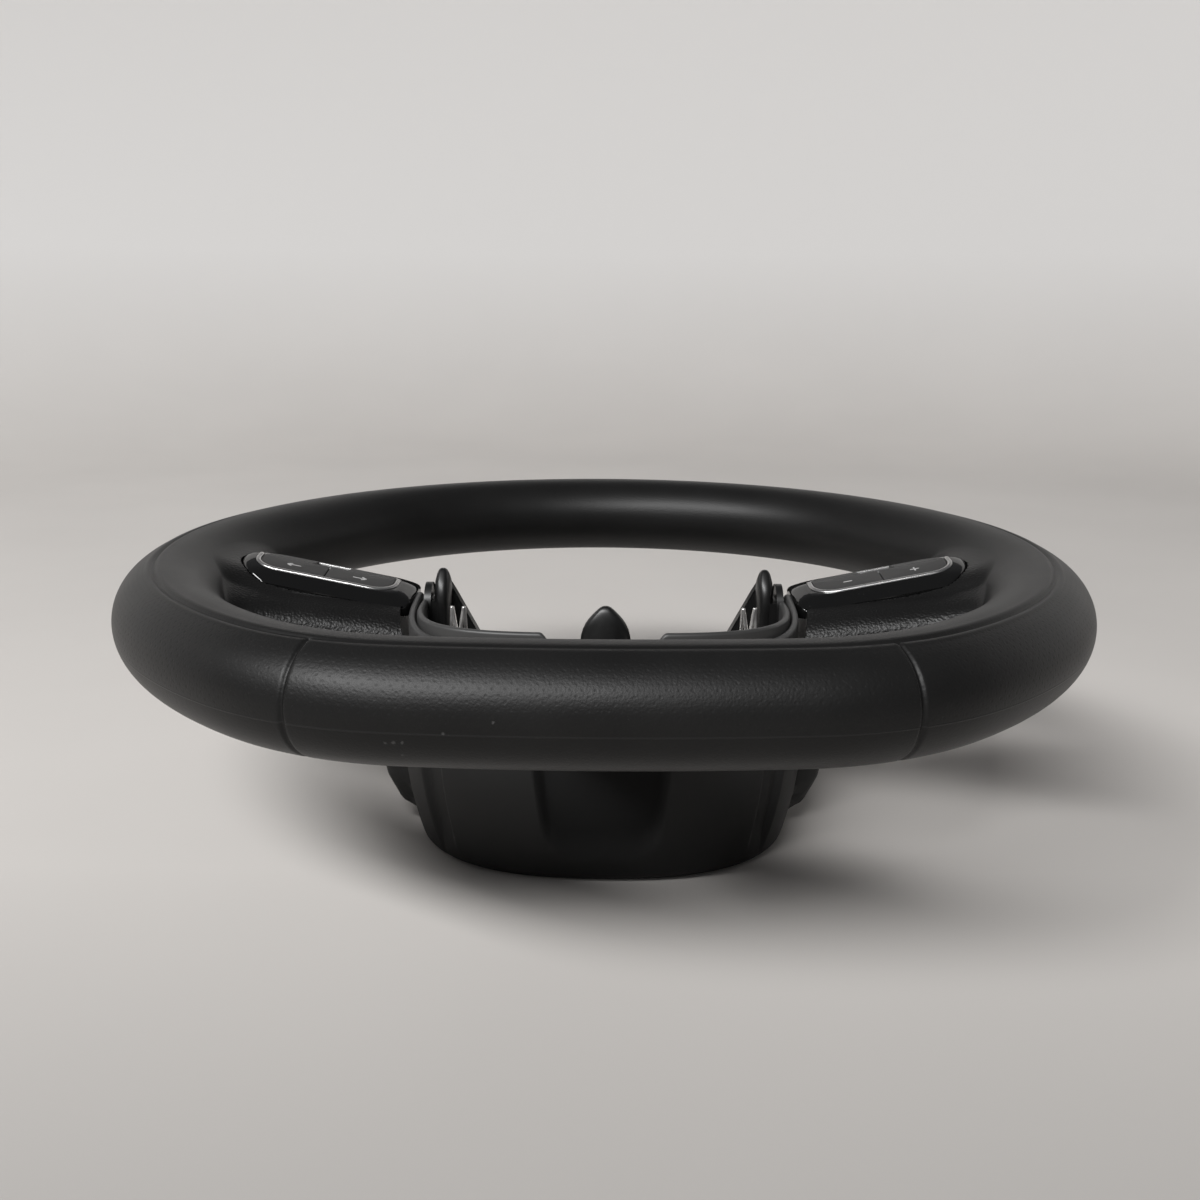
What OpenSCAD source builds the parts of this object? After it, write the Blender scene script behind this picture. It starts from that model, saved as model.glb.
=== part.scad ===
// Car steering wheel, lying on its back with the airbag module taken out.
// +Z runs along the steering axis towards the driver, +Y points to twelve
// o'clock and the origin is the centre of the splined bore's rear mouth.

/* [Rim] */
// Width of the rim across nine and three o'clock, outside
rim_w = 351; // [330:1:380]
// Distance from the steering axis to the flat bottom, outside
rim_bottom = 161.5; // [152:0.5:168]
// Radial thickness of the rim
rim_thick = 36.5; // [30:0.5:40]
// Front to back height of the rim
rim_deep = 35; // [29:0.5:38]
// Radius of the flat bottom's slight bow, at mid rim
bottom_bow = 600; // [400:10:1200]
// Radius of the lower corners, at mid rim
corner_r = 85; // [60:1:100]
// Height of the rim's mid plane above the bore's rear mouth
rim_z = 67; // [60:1:75]
// Angle round the rim's section where the grip's crease runs
crease_at = 77; // [70:1:84]
// Depth of the crease
crease_deep = 0.9; // [0.4:0.1:1.4]
// Depth of the two moulded seams at the lower corners
seam_deep = 0.8; // [0.4:0.1:1.2]
// How far the thumb rests swell the rim inwards at ten and two o'clock
thumb_swell = 2.5; // [0:0.5:4]

/* [Spokes] */
// Half the width of a side spoke where it meets the hub
spoke_half = 31; // [27:1:34]
// Distance below the rim's mid plane of a side spoke's face at the hub
spoke_drop = 6; // [3:0.5:10]
// Front to back depth of a side spoke at the hub
spoke_deep = 36; // [32:1:38]
// Half the width of the lower spoke at the hub
lower_half = 21; // [16:1:24]
// Depth of the lower spoke at the hub
lower_deep = 30; // [26:1:32]

/* [Armature] */
// Diameter of the armature's ring inside the rim
ring_d = 12; // [9:0.5:15]
// Width of the armature's arms
arm_w = 20; // [16:1:24]
// Thickness of the armature's arms
arm_t = 7; // [5:0.5:8]
// Radius of the hub plate
plate_r = 42; // [38:1:46]
// Thickness of the hub plate
plate_t = 6; // [4:0.5:8]
// Height of the hub plate's rear face
plate_z = 22; // [20:0.5:24]
// Height of the arms' flat seats, where the guide tongues stand
seat_z = 38; // [36:0.5:40]

/* [Hub] */
// Radius of the bore
bore_r = 8.5; // [7:0.1:10]
// Length of the bore
bore_len = 30; // [28:0.5:36]
// Outside radius of the steel hub insert
insert_r = 15; // [13:0.5:18]
// Number of spline grooves in the bore
spline_count = 16; // [8:2:18]
// Depth of the spline grooves
spline_deep = 0.8; // [0.5:0.1:1.2]

/* [Rear cover] */
// Height of the cover's flat back below the bore's rear mouth
cover_back = 28; // [24:1:32]
// Height of the cover's open front above the bore's rear mouth
cover_top = 30; // [28:0.5:31]
// Half the width of the hub at the cover's open front
hub_half = 75.4; // [72:0.2:78]
// Distance from the axis to the hub's lower wall at the cover's open front
hub_low = 64.5; // [62:0.5:67]
// How much each wall leans in from front to back
cover_lean = 5.5; // [3:0.5:7]
// Wall thickness of the cover
cover_wall = 2.8; // [2.2:0.1:3.2]
// Depth of the recess in the cover's lower wall
recess_deep = 5; // [2:0.5:6]
// Radius of the opening for the steering column
column_r = 40; // [34:0.5:42]

/* [Hub bezel] */
// Thickness of the bezel's wall
bezel_wall = 7; // [6:0.2:8]
// Width of the groove between the bezel's two ridges
groove_w = 2.2; // [1.4:0.1:2.6]
// Depth of that groove
groove_deep = 3; // [2:0.5:5]
// Drop of the bezel's inner ridge below its outer one
ridge_step = 0.8; // [0.4:0.1:1.2]
// Half the width of the gap for the lower guide tongue
notch_half = 17; // [14:0.5:19]
// How far below the rim's mid plane the ridges stop at that gap
ridge_gap = 9; // [6:0.5:12]

/* [Switch pods] */
// How much longer a pod is than the gap between hub and rim
pod_over = 2.4; // [0:0.1:4]
// Half the width of a pod at its foot
pod_half = 18; // [17:0.5:20]
// Tilt of a pod, its outer end towards the driver
pod_tilt = 11.4; // [9:0.1:13]
// How much nearer the hub than half way a pod's middle lies
pod_in = 2.7; // [1.5:0.1:4]
// Height of a pod's crest above the rim's mid plane
pod_rise = 5.9; // [5:0.1:8]
// Depth of a pod's case under its crest
pod_deep = 16; // [15:0.5:17]
// Length of a pod's two ends beyond its key field, taken together
pod_ends = 15; // [13:0.5:18]
// Half the width of the key field
field_half = 11.5; // [11:0.25:12]
// Corner radius of the key field
field_r = 8; // [5:0.5:10]
// Width of the bright trim round the key field
trim_w = 1.7; // [1.4:0.1:2]
// Slope of the near keys' face
near_slope = 7.5; // [4:0.5:9]
// Slope of the far keys' face
far_slope = 10; // [8:0.5:12]
// Thickness of a key's plate
key_t = 2.6; // [2:0.1:3]
// Travel of a key
key_travel = 1; // [0.6:0.1:1.2]
// Diameter of the thumb roller
roller_d = 10.8; // [9:0.2:10.8]
// Width of the thumb roller
roller_w = 9; // [7:0.5:10]
// Diameter of the roller's stub axles
axle_d = 2.4; // [2:0.1:3]

/* [Airbag seat] */
// Distance from the well's side wall to the middle of a side guide tongue
tongue_in = 6.9; // [6.2:0.1:8]
// Distance from the hub's lower wall to the middle of the lower guide tongue
low_tongue_in = 6.7; // [6.2:0.1:8]
// Height of the tongues' tips above the rim's mid plane
tongue_tip = 5.6; // [3:0.1:8]
// Width of a tongue
tongue_w = 15.4; // [12:0.2:18]
// Thickness of a tongue at its foot
tongue_t = 6.4; // [5:0.2:7]
// Diameter of the retaining spring's wire
wire_d = 1.8; // [1.2:0.1:2.4]
// Half the length of a retaining spring's foot
spring_half = 16; // [12:0.5:18]

/* [Fits] */
// Clearance between fixed pieces that nest
fit = 0.3; // [0.2:0.05:0.5]
// Clearance round each moving key and roller
run_fit = 0.35; // [0.3:0.05:0.5]
// Radial clearance of the roller's axles in their posts
axle_fit = 0.06; // [0.03:0.01:0.1]

/* [Hidden] */
over = 1;

rim_a = rim_thick / 2;
rim_c = rim_deep / 2;
main_r = rim_w / 2 - rim_a;
rim_in = main_r - rim_a;
low_y = rim_bottom - rim_a;
side_span = main_r - hub_half;
low_span = low_y - hub_low;
pod_len = rim_in - hub_half + pod_over;
pod_x = (hub_half + rim_in) / 2 - pod_in;
field_len = pod_len - pod_ends;
tongue_x = hub_half - bezel_wall - tongue_in;
tongue_y = hub_low - low_tongue_in;

// Centre of the bottom's bow, and of the right lower corner, from the tangency
// of three circles: both the main circle and the bow hold the corner inside.
bow_y = bottom_bow - low_y;
corner_out = main_r - corner_r;
corner_in = bottom_bow - corner_r;
corner_y = (corner_out ^ 2 - corner_in ^ 2 + bow_y ^ 2) / (2 * bow_y);
corner_x = sqrt(corner_out ^ 2 - corner_y ^ 2);
main_end = atan2(corner_y, corner_x);
bow_end = atan2(corner_y - bow_y, corner_x);
seam_at = (main_end + bow_end) / 2;

// Stations round the right half of the rim, from the bottom to the top: each is
// [centre x, centre y, radius, angle].
hole_low = 25;
hole_high = 17;
low_hole = asin((lower_half + 9) / bottom_bow);
function steps(a, b, n) = [for (i = [1:n]) a + (b - a) * i / n];
function bow_at(a) = [0, bow_y, bottom_bow, a];
function corner_at(a) = [corner_x, corner_y, corner_r, a];
function main_at(a) = [0, 0, main_r, a];
seam_half = 0.7;
half_stations = concat(
    [for (a = steps(-90, low_hole - 90, 3)) bow_at(a)],
    [bow_at(bow_end)],
    [for (a = steps(bow_end, seam_at - seam_half, 3)) corner_at(a)],
    [for (a = [seam_at, seam_at + seam_half]) corner_at(a)],
    [for (a = steps(seam_at + seam_half, main_end, 3)) corner_at(a)],
    [for (a = steps(main_end, -hole_low, 5)) main_at(a)],
    [for (a = steps(-hole_low, hole_high, 7)) main_at(a)],
    [for (a = steps(hole_high, 90, 14)) main_at(a)]);
half_n = len(half_stations);
stations = concat([[0, bow_y, bottom_bow, -90, 1]],
    [for (s = half_stations) concat(s, [1])],
    [for (i = [half_n - 2:-1:0]) concat(half_stations[i], [-1])]);
station_n = len(stations);

function at_angle(s) = s[4] > 0 ? s[3] : 180 - s[3];
function at_point(s) = [s[4] * (s[0] + s[2] * cos(s[3])), s[1] + s[2] * sin(s[3])];

// Angles round the section: 0 points out, 90 to the driver, 180 to the axis.
phis = concat([for (a = [-75:15:60]) a],
    [crease_at - 5, crease_at, crease_at + 5],
    [for (a = [95:15:275]) a]);
phi_n = len(phis);

function bell(x, w) = exp(-(x / w) * (x / w));
function smooth(x) = x <= 0 ? 0 : x >= 1 ? 1 : x * x * (3 - 2 * x);
function turn(a) = a > 180 ? a - 360 : a < -180 ? a + 360 : a;
function from_top(s) = let (p = at_point(s)) abs(turn(atan2(p[1], p[0]) - 90));
function seam_here(s) = s[0] > 0 ? bell(s[3] - seam_at, 0.5) : 0;
function cut(s, phi) =
    crease_deep * bell(phi - crease_at, 3) * smooth((from_top(s) - 62) / 18)
    + seam_deep * seam_here(s) * (phi < crease_at + 1 ? 1 : 0);
function swell(s, phi) =
    thumb_swell * bell(from_top(s) - 58, 14) * max(0, -cos(phi));
function skin(s, phi) =
    let (p = at_point(s), t = at_angle(s), r = (rim_a - cut(s, phi)) * cos(phi) - swell(s, phi))
    [p[0] + r * cos(t), p[1] + r * sin(t), rim_z + (rim_c - cut(s, phi)) * sin(phi)];

// Spoke openings in the skin's net: [first station, last station, first row, last row].
right_a = half_n - 21;
right_b = half_n - 14;
left_a = station_n - right_b;
left_b = station_n - right_a;
low_a = station_n - 3;
low_b = station_n + 3;
holes = [[right_a, right_b, 15, 25], [left_a, left_b, 15, 25], [low_a, low_b, 15, 25]];

function wrap(i) = (i + station_n) % station_n;
function net_index(i, j) = wrap(i) * phi_n + (j % phi_n);
function in_hole(i, j) = len([for (o = holes) for (k = [0, station_n])
    if (i + k >= o[0] && i + k < o[1] && j >= o[2] && j < o[3]) 1]) > 0;

// Net places round an opening: top edge, far side, bottom edge, near side.
function loop_of(o) = concat(
    [for (i = [o[0]:1:o[1]]) [i, o[2]]],
    [for (j = [o[2] + 1:1:o[3] - 1]) [o[1], j]],
    [for (i = [o[1]:-1:o[0]]) [i, o[3]]],
    [for (j = [o[3] - 1:-1:o[2] + 1]) [o[0], j]]);
function unit(v) = v / norm(v);
function net_point(i, j) = skin(stations[wrap(i)], phis[j % phi_n]);

// Each spoke's inner end: its middle, its direction, its width direction in
// station order, half its width and half its depth. The hub's outline trims it.
end_x = hub_half - 13.4;
end_y = -4;
spoke_mid = rim_z - spoke_drop - 0.27 * (hub_half - end_x) - spoke_deep / 2;
lower_mid = rim_z - 11 - lower_deep / 2;
ends = [
    [[end_x, end_y, spoke_mid], [-1, 0, -0.27], [0, 1, 0], spoke_half, spoke_deep / 2],
    [[-end_x, end_y, spoke_mid], [1, 0, -0.27], [0, -1, 0], spoke_half, spoke_deep / 2],
    [[0, 9.5 - hub_low, lower_mid], [0, 1, -0.1], [1, 0, 0], lower_half, lower_deep / 2]];
side_pulls = [0.5376, 0.7331] * side_span;
pulls = [side_pulls, side_pulls, [0.3048, 0.381] * low_span];
rows = [0.12, 0.25, 0.39, 0.54, 0.7, 0.86, 1];

function loft_point(o, e, pull, place, t) =
    let (i = place[0], j = place[1],
        p0 = net_point(i, j),
        xi = (2 * i - o[0] - o[1]) / (o[1] - o[0]),
        eta = (o[2] + o[3] - 2 * j) / (o[3] - o[2]),
        along = unit(net_point(i + 1, j) - net_point(i - 1, j)),
        up = unit(net_point(i, j - 1) - net_point(i, j + 1)),
        lead = unit(-along * xi ^ 3 - up * eta ^ 3) * pull[0],
        k = pow(pow(abs(xi), 4) + pow(abs(eta), 4), 0.25),
        p1 = e[0] + e[2] * e[3] * xi / k + [0, 0, e[4] * eta / k],
        arrive = unit(e[1]) * pull[1],
        t2 = t * t, t3 = t2 * t)
    p0 * (2 * t3 - 3 * t2 + 1) + lead * (t3 - 2 * t2 + t)
    + p1 * (3 * t2 - 2 * t3) + arrive * (t3 - t2);

module moulding() {
    loops = [for (o = holes) loop_of(o)];
    net = [for (i = [0:station_n - 1]) for (j = [0:phi_n - 1]) net_point(i, j)];
    n0 = len(net);
    counts = [for (l = loops) len(l)];
    starts = [n0, n0 + counts[0] * len(rows), n0 + (counts[0] + counts[1]) * len(rows)];
    lofts = [for (k = [0:2]) for (t = rows) for (q = loops[k])
        loft_point(holes[k], ends[k], pulls[k], q, t)];
    function loft_index(k, r, m) = r == 0
        ? net_index(loops[k][m % counts[k]][0], loops[k][m % counts[k]][1])
        : starts[k] + (r - 1) * counts[k] + m % counts[k];
    ring_faces = [for (i = [0:station_n - 1]) for (j = [0:phi_n - 1]) if (!in_hole(i, j))
        each [[net_index(i, j), net_index(i, j + 1), net_index(i + 1, j + 1)],
              [net_index(i, j), net_index(i + 1, j + 1), net_index(i + 1, j)]]];
    loft_faces = [for (k = [0:2]) for (r = [0:len(rows) - 1]) for (m = [0:counts[k] - 1])
        each [[loft_index(k, r, m), loft_index(k, r + 1, m + 1), loft_index(k, r, m + 1)],
              [loft_index(k, r, m), loft_index(k, r + 1, m), loft_index(k, r + 1, m + 1)]]];
    caps = [for (k = [0:2]) [for (m = [counts[k] - 1:-1:0]) loft_index(k, len(rows), m)]];
    polyhedron(concat(net, lofts), concat(ring_faces, loft_faces, caps), convexity = 8);
}

// The hub's outline, a superellipse of the third degree, grown by g.
function hub_at(a, g = 0) =
    let (c = abs(cos(a)), s = abs(sin(a)), A = hub_half + g, B = hub_low + g,
        r = pow(pow(c / A, 3) + pow(s / B, 3), -1 / 3))
    [r * cos(a), r * sin(a)];
module hub_plan(g = 0) {
    polygon([for (a = [0:4:356]) hub_at(a, g)]);
}

// An arm in the plane of its own length: out towards the rim along x, up along y.
// It rises from the plate to the tongue's seat, and on to the ring by shares of
// the gap between hub and rim.
function root(seat) = min(plate_r, seat) - 6;
function arm_pts(out, lo, hi) = [
    [root(tongue_x - 19.5), plate_z - lo], [tongue_x - 14.5, plate_z - lo],
    [tongue_x - 8.5, seat_z - arm_t - lo],
    [hub_half + 0.08 * side_span, seat_z - arm_t - lo],
    [hub_half + 0.4 * side_span, seat_z + 5 - lo],
    [hub_half + 0.74 * side_span, seat_z + 14.5 - lo], [out - 6, rim_z - 4.5 - lo],
    [out, rim_z - ring_d / 4 - lo], [out, rim_z + ring_d / 4 + hi],
    [out - 10, rim_z + 1 + hi], [hub_half + 0.69 * side_span, seat_z + 21 + hi],
    [hub_half + 0.35 * side_span, seat_z + 12.5 + hi],
    [hub_half + 0.055 * side_span, seat_z + hi],
    [tongue_x - 9.5, seat_z + hi], [tongue_x - 18.5, plate_z + plate_t + hi],
    [root(tongue_x - 19.5), plate_z + plate_t + hi]];
function low_pts(out, lo, hi) = [
    [root(tongue_y - 15.8), plate_z - lo], [tongue_y - 10.8, plate_z - lo],
    [tongue_y - 4.8, seat_z - arm_t - lo],
    [hub_low + 0.02 * low_span, seat_z - arm_t - lo],
    [hub_low + 0.6 * low_span, seat_z + 13 - lo], [out - 6, rim_z - 4.5 - lo],
    [out, rim_z - ring_d / 4 - lo], [out, rim_z + ring_d / 4 + hi],
    [out - 9, rim_z + 1 + hi], [hub_low + 0.55 * low_span, seat_z + 20 + hi],
    [hub_low, seat_z + hi],
    [tongue_y - 5.8, seat_z + hi], [tongue_y - 14.8, plate_z + plate_t + hi],
    [root(tongue_y - 15.8), plate_z + plate_t + hi]];
module arm(pts, w) {
    rotate([90, 0, 0])
        linear_extrude(w, center = true) polygon(pts);
}
module ring_section(from, r) {
    translate([from, 0]) polygon([for (a = [22.5:45:337.5]) r / cos(22.5) * [cos(a), sin(a)]]);
}
// The corners are a touch slimmer and end inside their neighbours.
module ring_path(r) {
    start = 90 - main_end;
    nest = 0.5;
    translate([0, 0, rim_z]) {
        rotate([0, 0, main_end]) rotate_extrude(angle = 2 * start, $fn = 84)
            ring_section(main_r, r);
        translate([0, bow_y, 0]) rotate([0, 0, -180 - bow_end])
            rotate_extrude(angle = 2 * bow_end + 180, $fn = 180)
                ring_section(bottom_bow, r);
        for (side = [0, 1]) mirror([side, 0, 0])
            translate([corner_x, corner_y, 0]) rotate([0, 0, bow_end - nest])
                rotate_extrude(angle = main_end - bow_end + 2 * nest, $fn = 72)
                    ring_section(corner_r, r - 0.25);
    }
}

module armature() {
    color("#9a9da0") difference() {
        union() {
            ring_path(ring_d / 2);
            for (side = [0, 1]) mirror([side, 0, 0])
                arm(arm_pts(main_r, 0, 0), arm_w);
            rotate([0, 0, -90]) arm(low_pts(low_y, 0, 0), arm_w);
            translate([0, 0, plate_z]) cylinder(plate_t, plate_r, plate_r);
        }
        translate([0, 0, plate_z - over])
            cylinder(plate_t + 2 * over, insert_r, insert_r);
        for (a = [45, 135]) rotate([0, 0, a])
            translate([(insert_r + plate_r) / 2, 0, plate_z - over])
                cylinder(plate_t + 2 * over, 7, 7);
    }
}

module column_boss() {
    flange = plate_z - 3;
    color("#6f7276") difference() {
        union() {
            cylinder(bore_len, insert_r, insert_r);
            translate([0, 0, flange]) cylinder(3, insert_r + 4, insert_r + 4);
        }
        translate([0, 0, -over]) cylinder(bore_len + 2 * over, bore_r, bore_r);
        for (i = [0:spline_count / 2 - 1]) rotate([0, 0, i * 360 / spline_count])
            translate([-bore_r - spline_deep, -0.35, -over])
                cube([2 * (bore_r + spline_deep), 0.7, bore_len + 2 * over]);
    }
}

// Where a pod lies: its own x runs outwards along the crest, its own z straight
// out of its face.
module at_pod(side) {
    mirror([side < 0 ? 1 : 0, 0, 0])
        translate([pod_x, 0, rim_z + pod_rise]) rotate([0, -pod_tilt, 0]) children();
}
opening_x = field_len / 2 + trim_w;
opening_y = field_half + trim_w;
foot_z = -9;
case_top = -5;
case_floor = -pod_deep + 1.6;
board_top = case_floor + 1.4;
peg_r = 2.7;
peg_h = 3;

// A plate with round corners, from circles and squares.
module rounded(hx, hy, r) {
    square([2 * hx, 2 * (hy - r)], center = true);
    square([2 * (hx - r), 2 * hy], center = true);
    for (x = [-1, 1]) for (y = [-1, 1])
        translate([x * (hx - r), y * (hy - r)]) circle(r);
}
module field_plan(g) {
    rounded(field_len / 2 + g, field_half + g, field_r + g);
}
// Outline of a pod's foot: a round outer end and a blunt inner one.
function pod_plan(hx, hy, g) = concat(
    [for (a = [-75:15:75]) [hx - hy * 0.8 + (hy * 0.8 + g) * cos(a), (hy + g) * sin(a)]],
    [[-hx + 9, hy + g], [-hx + 2, hy - 6 + g], [-hx - g, hy - 11],
     [-hx - g, -hy + 11], [-hx + 2, -hy + 6 - g], [-hx + 9, -hy - g]]);
module pod_slab(z, t, hx, hy, g = 0) {
    translate([0, 0, z]) linear_extrude(t) polygon(pod_plan(hx, hy, g));
}

module rim_cover() {
    pod_hx = pod_len / 2;
    color("#26262a") difference() {
        moulding();
        translate([0, 0, -60]) linear_extrude(160) hub_plan(fit);
        ring_path(ring_d / 2 + fit);
        for (side = [0, 1]) mirror([side, 0, 0])
            arm(arm_pts(main_r, fit, fit), arm_w + 2 * fit);
        rotate([0, 0, -90]) arm(low_pts(low_y, fit, fit), arm_w + 2 * fit);
        for (side = [-1, 1]) at_pod(side) {
            hull() {
                pod_slab(foot_z, over, pod_hx, pod_half, fit);
                pod_slab(4, over, pod_hx, pod_half, fit);
            }
            hull() for (z = [-pod_deep, foot_z])
                translate([0, 0, z]) linear_extrude(over) field_plan(trim_w + fit, $fn = 32);
            for (x = [-0.7, 0.7]) hull() for (z = [-pod_deep - peg_h, -pod_deep])
                translate([x * opening_x, 0, z])
                    linear_extrude(over) circle(peg_r + fit, $fn = 24);
        }
    }
}

// How far the cover's wall is pressed in at angle a from six o'clock and height z.
cover_as = [0, 6, 12, 16, 18, 20, 22.5, 28, 34, 40, 45, 47.5, 51, 54.5, 57, 63, 70,
    77, 84, 90];
cover_angles = concat([for (i = [len(cover_as) - 1:-1:1]) -90 - cover_as[i]],
    [for (a = cover_as) -90 + a], [for (a = [6:6:174]) a]);
cover_zs = [-cover_back, 3 - cover_back, 10 - cover_back, 13 - cover_back,
    24 - cover_back, cover_top - 18, cover_top];
function press(a, z) =
    let (t = (z + cover_back) / (cover_top + cover_back))
    recess_deep * smooth((20.5 - abs(a)) / 3.5) * smooth((t - 0.2) / 0.06) * (0.4 + 0.6 * t)
    + 2 * smooth((4.5 - abs(abs(a) - 51)) / 3) * smooth((t - 0.02) / 0.2);
function cover_at(a, z, g) =
    let (t = (z + cover_back) / (cover_top + cover_back),
        e = z <= -cover_back ? 3.4 : z < 4 - cover_back ? 0.6 : 0,
        p = hub_at(a, -cover_lean * (1 - t) - e - press(turn(a + 90), z) - g))
    [p[0], p[1], z];
module cover_bowl() {
    n = len(cover_angles);
    m = len(cover_zs);
    floor_z = cover_wall - cover_back;
    inner_zs = [for (z = cover_zs) max(z, floor_z)];
    pts = concat(
        [for (z = cover_zs) for (a = cover_angles) cover_at(a, z, 0)],
        [for (k = [m - 1:-1:1]) for (a = cover_angles)
            cover_at(a, inner_zs[k], cover_wall)]);
    last = 2 * m - 2;
    faces = [for (k = [0:last - 1]) for (i = [0:n - 1])
        each [[k * n + i, (k + 1) * n + i, (k + 1) * n + (i + 1) % n],
              [k * n + i, (k + 1) * n + (i + 1) % n, k * n + (i + 1) % n]]];
    polyhedron(pts, concat(faces, [[for (i = [0:n - 1]) i]],
        [[for (i = [n - 1:-1:0]) last * n + i]]), convexity = 6);
}

module fairing(z, out, half) {
    translate([0, 0, z]) linear_extrude(1) {
        translate([hub_half - 15.4, -half]) square([4, 2 * half]);
        for (y = [-1, 1]) translate([out - 8, y * (half - 8)]) circle(8, $fn = 24);
    }
}
module rear_cover() {
    color("#1f2022") difference() {
        union() {
            cover_bowl();
            for (side = [0, 1]) mirror([side, 0, 0]) hull() {
                fairing(cover_top - 12, hub_half + 15.6, spoke_half - 7);
                fairing(20 - cover_back, hub_half + 11.4, spoke_half - 9);
                fairing(9 - cover_back, hub_half + 7.1, spoke_half - 13);
                fairing(3.5 - cover_back, hub_half + 0.6, spoke_half - 18);
            }
        }
        translate([0, 0, -cover_back - over]) cylinder(cover_wall + 4, column_r, column_r);
    }
}

module bezel_top(drop) {
    low = rim_z - 1 - drop;
    side = rim_z - 5 - drop;
    rotate([90, 0, 90]) linear_extrude(200, center = true)
        polygon([[-80, low + 1.2], [-62, low], [0, side], [26, cover_top + 4],
            [26, 100], [-80, 100]]);
}
module hub_bezel() {
    high = rim_z - cover_top;
    color("#4a4b4e") difference() {
        translate([0, 0, cover_top]) linear_extrude(high) difference() {
            hub_plan();
            hub_plan(-bezel_wall);
            translate([-100, 24]) square([200, 100]);
        }
        bezel_top(0);
        intersection() {
            bezel_top(ridge_step);
            linear_extrude(100) hub_plan(-2.6);
        }
        intersection() {
            bezel_top(groove_deep);
            linear_extrude(100) difference() {
                hub_plan(-2.4);
                hub_plan(-2.4 - groove_w);
            }
        }
        for (side = [0, 1]) mirror([side, 0, 0])
            translate([hub_half - 2 * bezel_wall, -arm_w / 2 - fit, cover_top - over])
                cube([3 * bezel_wall, arm_w + 2 * fit, seat_z + fit - cover_top + over]);
        translate([-arm_w / 2 - fit, -hub_low - bezel_wall, cover_top - over])
            cube([arm_w + 2 * fit, 3 * bezel_wall, seat_z + fit - cover_top + over]);
        translate([-notch_half, fit - tongue_y - tongue_t / 2 - 2 * fit, seat_z])
            cube([2 * notch_half, 20, 60]);
        translate([-notch_half, -hub_low - over, rim_z - ridge_gap])
            cube([2 * notch_half, bezel_wall + 2 * over, 60]);
        for (side = [-1, 1]) at_pod(side)
            pod_slab(foot_z - fit, 40, pod_len / 2, pod_half, fit);
    }
}

// A guide tongue: its own x runs across its width and its own y away from the axis.
module tongue() {
    top = rim_z + tongue_tip;
    tall = top - seat_z;
    half = tongue_w / 2;
    intersection() {
        rotate([90, 0, 0]) linear_extrude(40, center = true)
            polygon(concat([[-half, seat_z], [half, seat_z]],
                [for (a = [0:15:180]) [half * cos(a), top - 12 + 12 * sin(a)]]));
        rotate([90, 0, 90]) linear_extrude(40, center = true)
            polygon([[-tongue_t / 2, seat_z], [tongue_t / 2, seat_z],
                [tongue_t / 2, top - 16], [tongue_t / 2 - 1, top - 4], [1, top],
                [-1, top], [1 - tongue_t / 2, top - 4], [-tongue_t / 2, top - 16]]);
    }
}
module tongue_side() {
    rib = hub_half - bezel_wall - fit - 2.6 - tongue_x;
    color("#0c0d0f") {
        rotate([0, 0, -90]) tongue();
        translate([-tongue_t / 2, -arm_w / 2, seat_z])
            cube([rib + 2.6 + tongue_t / 2, arm_w, 3]);
        translate([rib, -8, seat_z]) cube([2.6, 16, rim_z - seat_z - 8]);
        translate([rib, 0, rim_z - 8]) rotate([0, 90, 0]) cylinder(2.6, 8, 8);
    }
}
module tongue_left() {
    mirror([1, 0, 0]) translate([tongue_x, 0, 0]) tongue_side();
}
module tongue_right() {
    translate([tongue_x, 0, 0]) tongue_side();
}
module tongue_bottom() {
    color("#0c0d0f") translate([0, -tongue_y, 0]) tongue();
}

module wire(a, b) {
    d = b - a;
    translate(a) rotate([0, acos(d[2] / norm(d)), atan2(d[1], d[0])])
        translate([0, 0, -wire_d / 2])
            cylinder(norm(d) + wire_d, wire_d / 2, wire_d / 2, $fn = 40);
}
module spring() {
    x = tongue_x - tongue_t / 2 - fit - wire_d / 2;
    z = seat_z + wire_d / 2;
    near = -spring_half - 2;
    pts = [[x, spring_half - 1, z], [x, near + 1, z], [x - 4, near, rim_z - 5],
        [x - 7.5, near, rim_z - 5], [x - 8.5, near + 3, z + 6]];
    color("#c8c9c6") for (i = [1:len(pts) - 1]) wire(pts[i - 1], pts[i]);
}
module spring_left() {
    mirror([1, 0, 0]) spring();
}
module spring_right() {
    spring();
}

// The face of a pod, lifted by h: a roof with its crest along x.
module roof(h) {
    rotate([90, 0, 90]) linear_extrude(90, center = true)
        polygon([[-30, h - 30 * tan(near_slope)], [0, h], [30, h - 30 * tan(far_slope)],
            [30, -40], [-30, -40]]);
}
roller_y = field_half - run_fit - roller_d / 2;
roller_z = 0.5 - roller_y * tan(far_slope) - roller_d / 2;
post_in = roller_w / 2 + run_fit;
post_out = post_in + 1.3;
key_gap = run_fit / 2;

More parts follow.
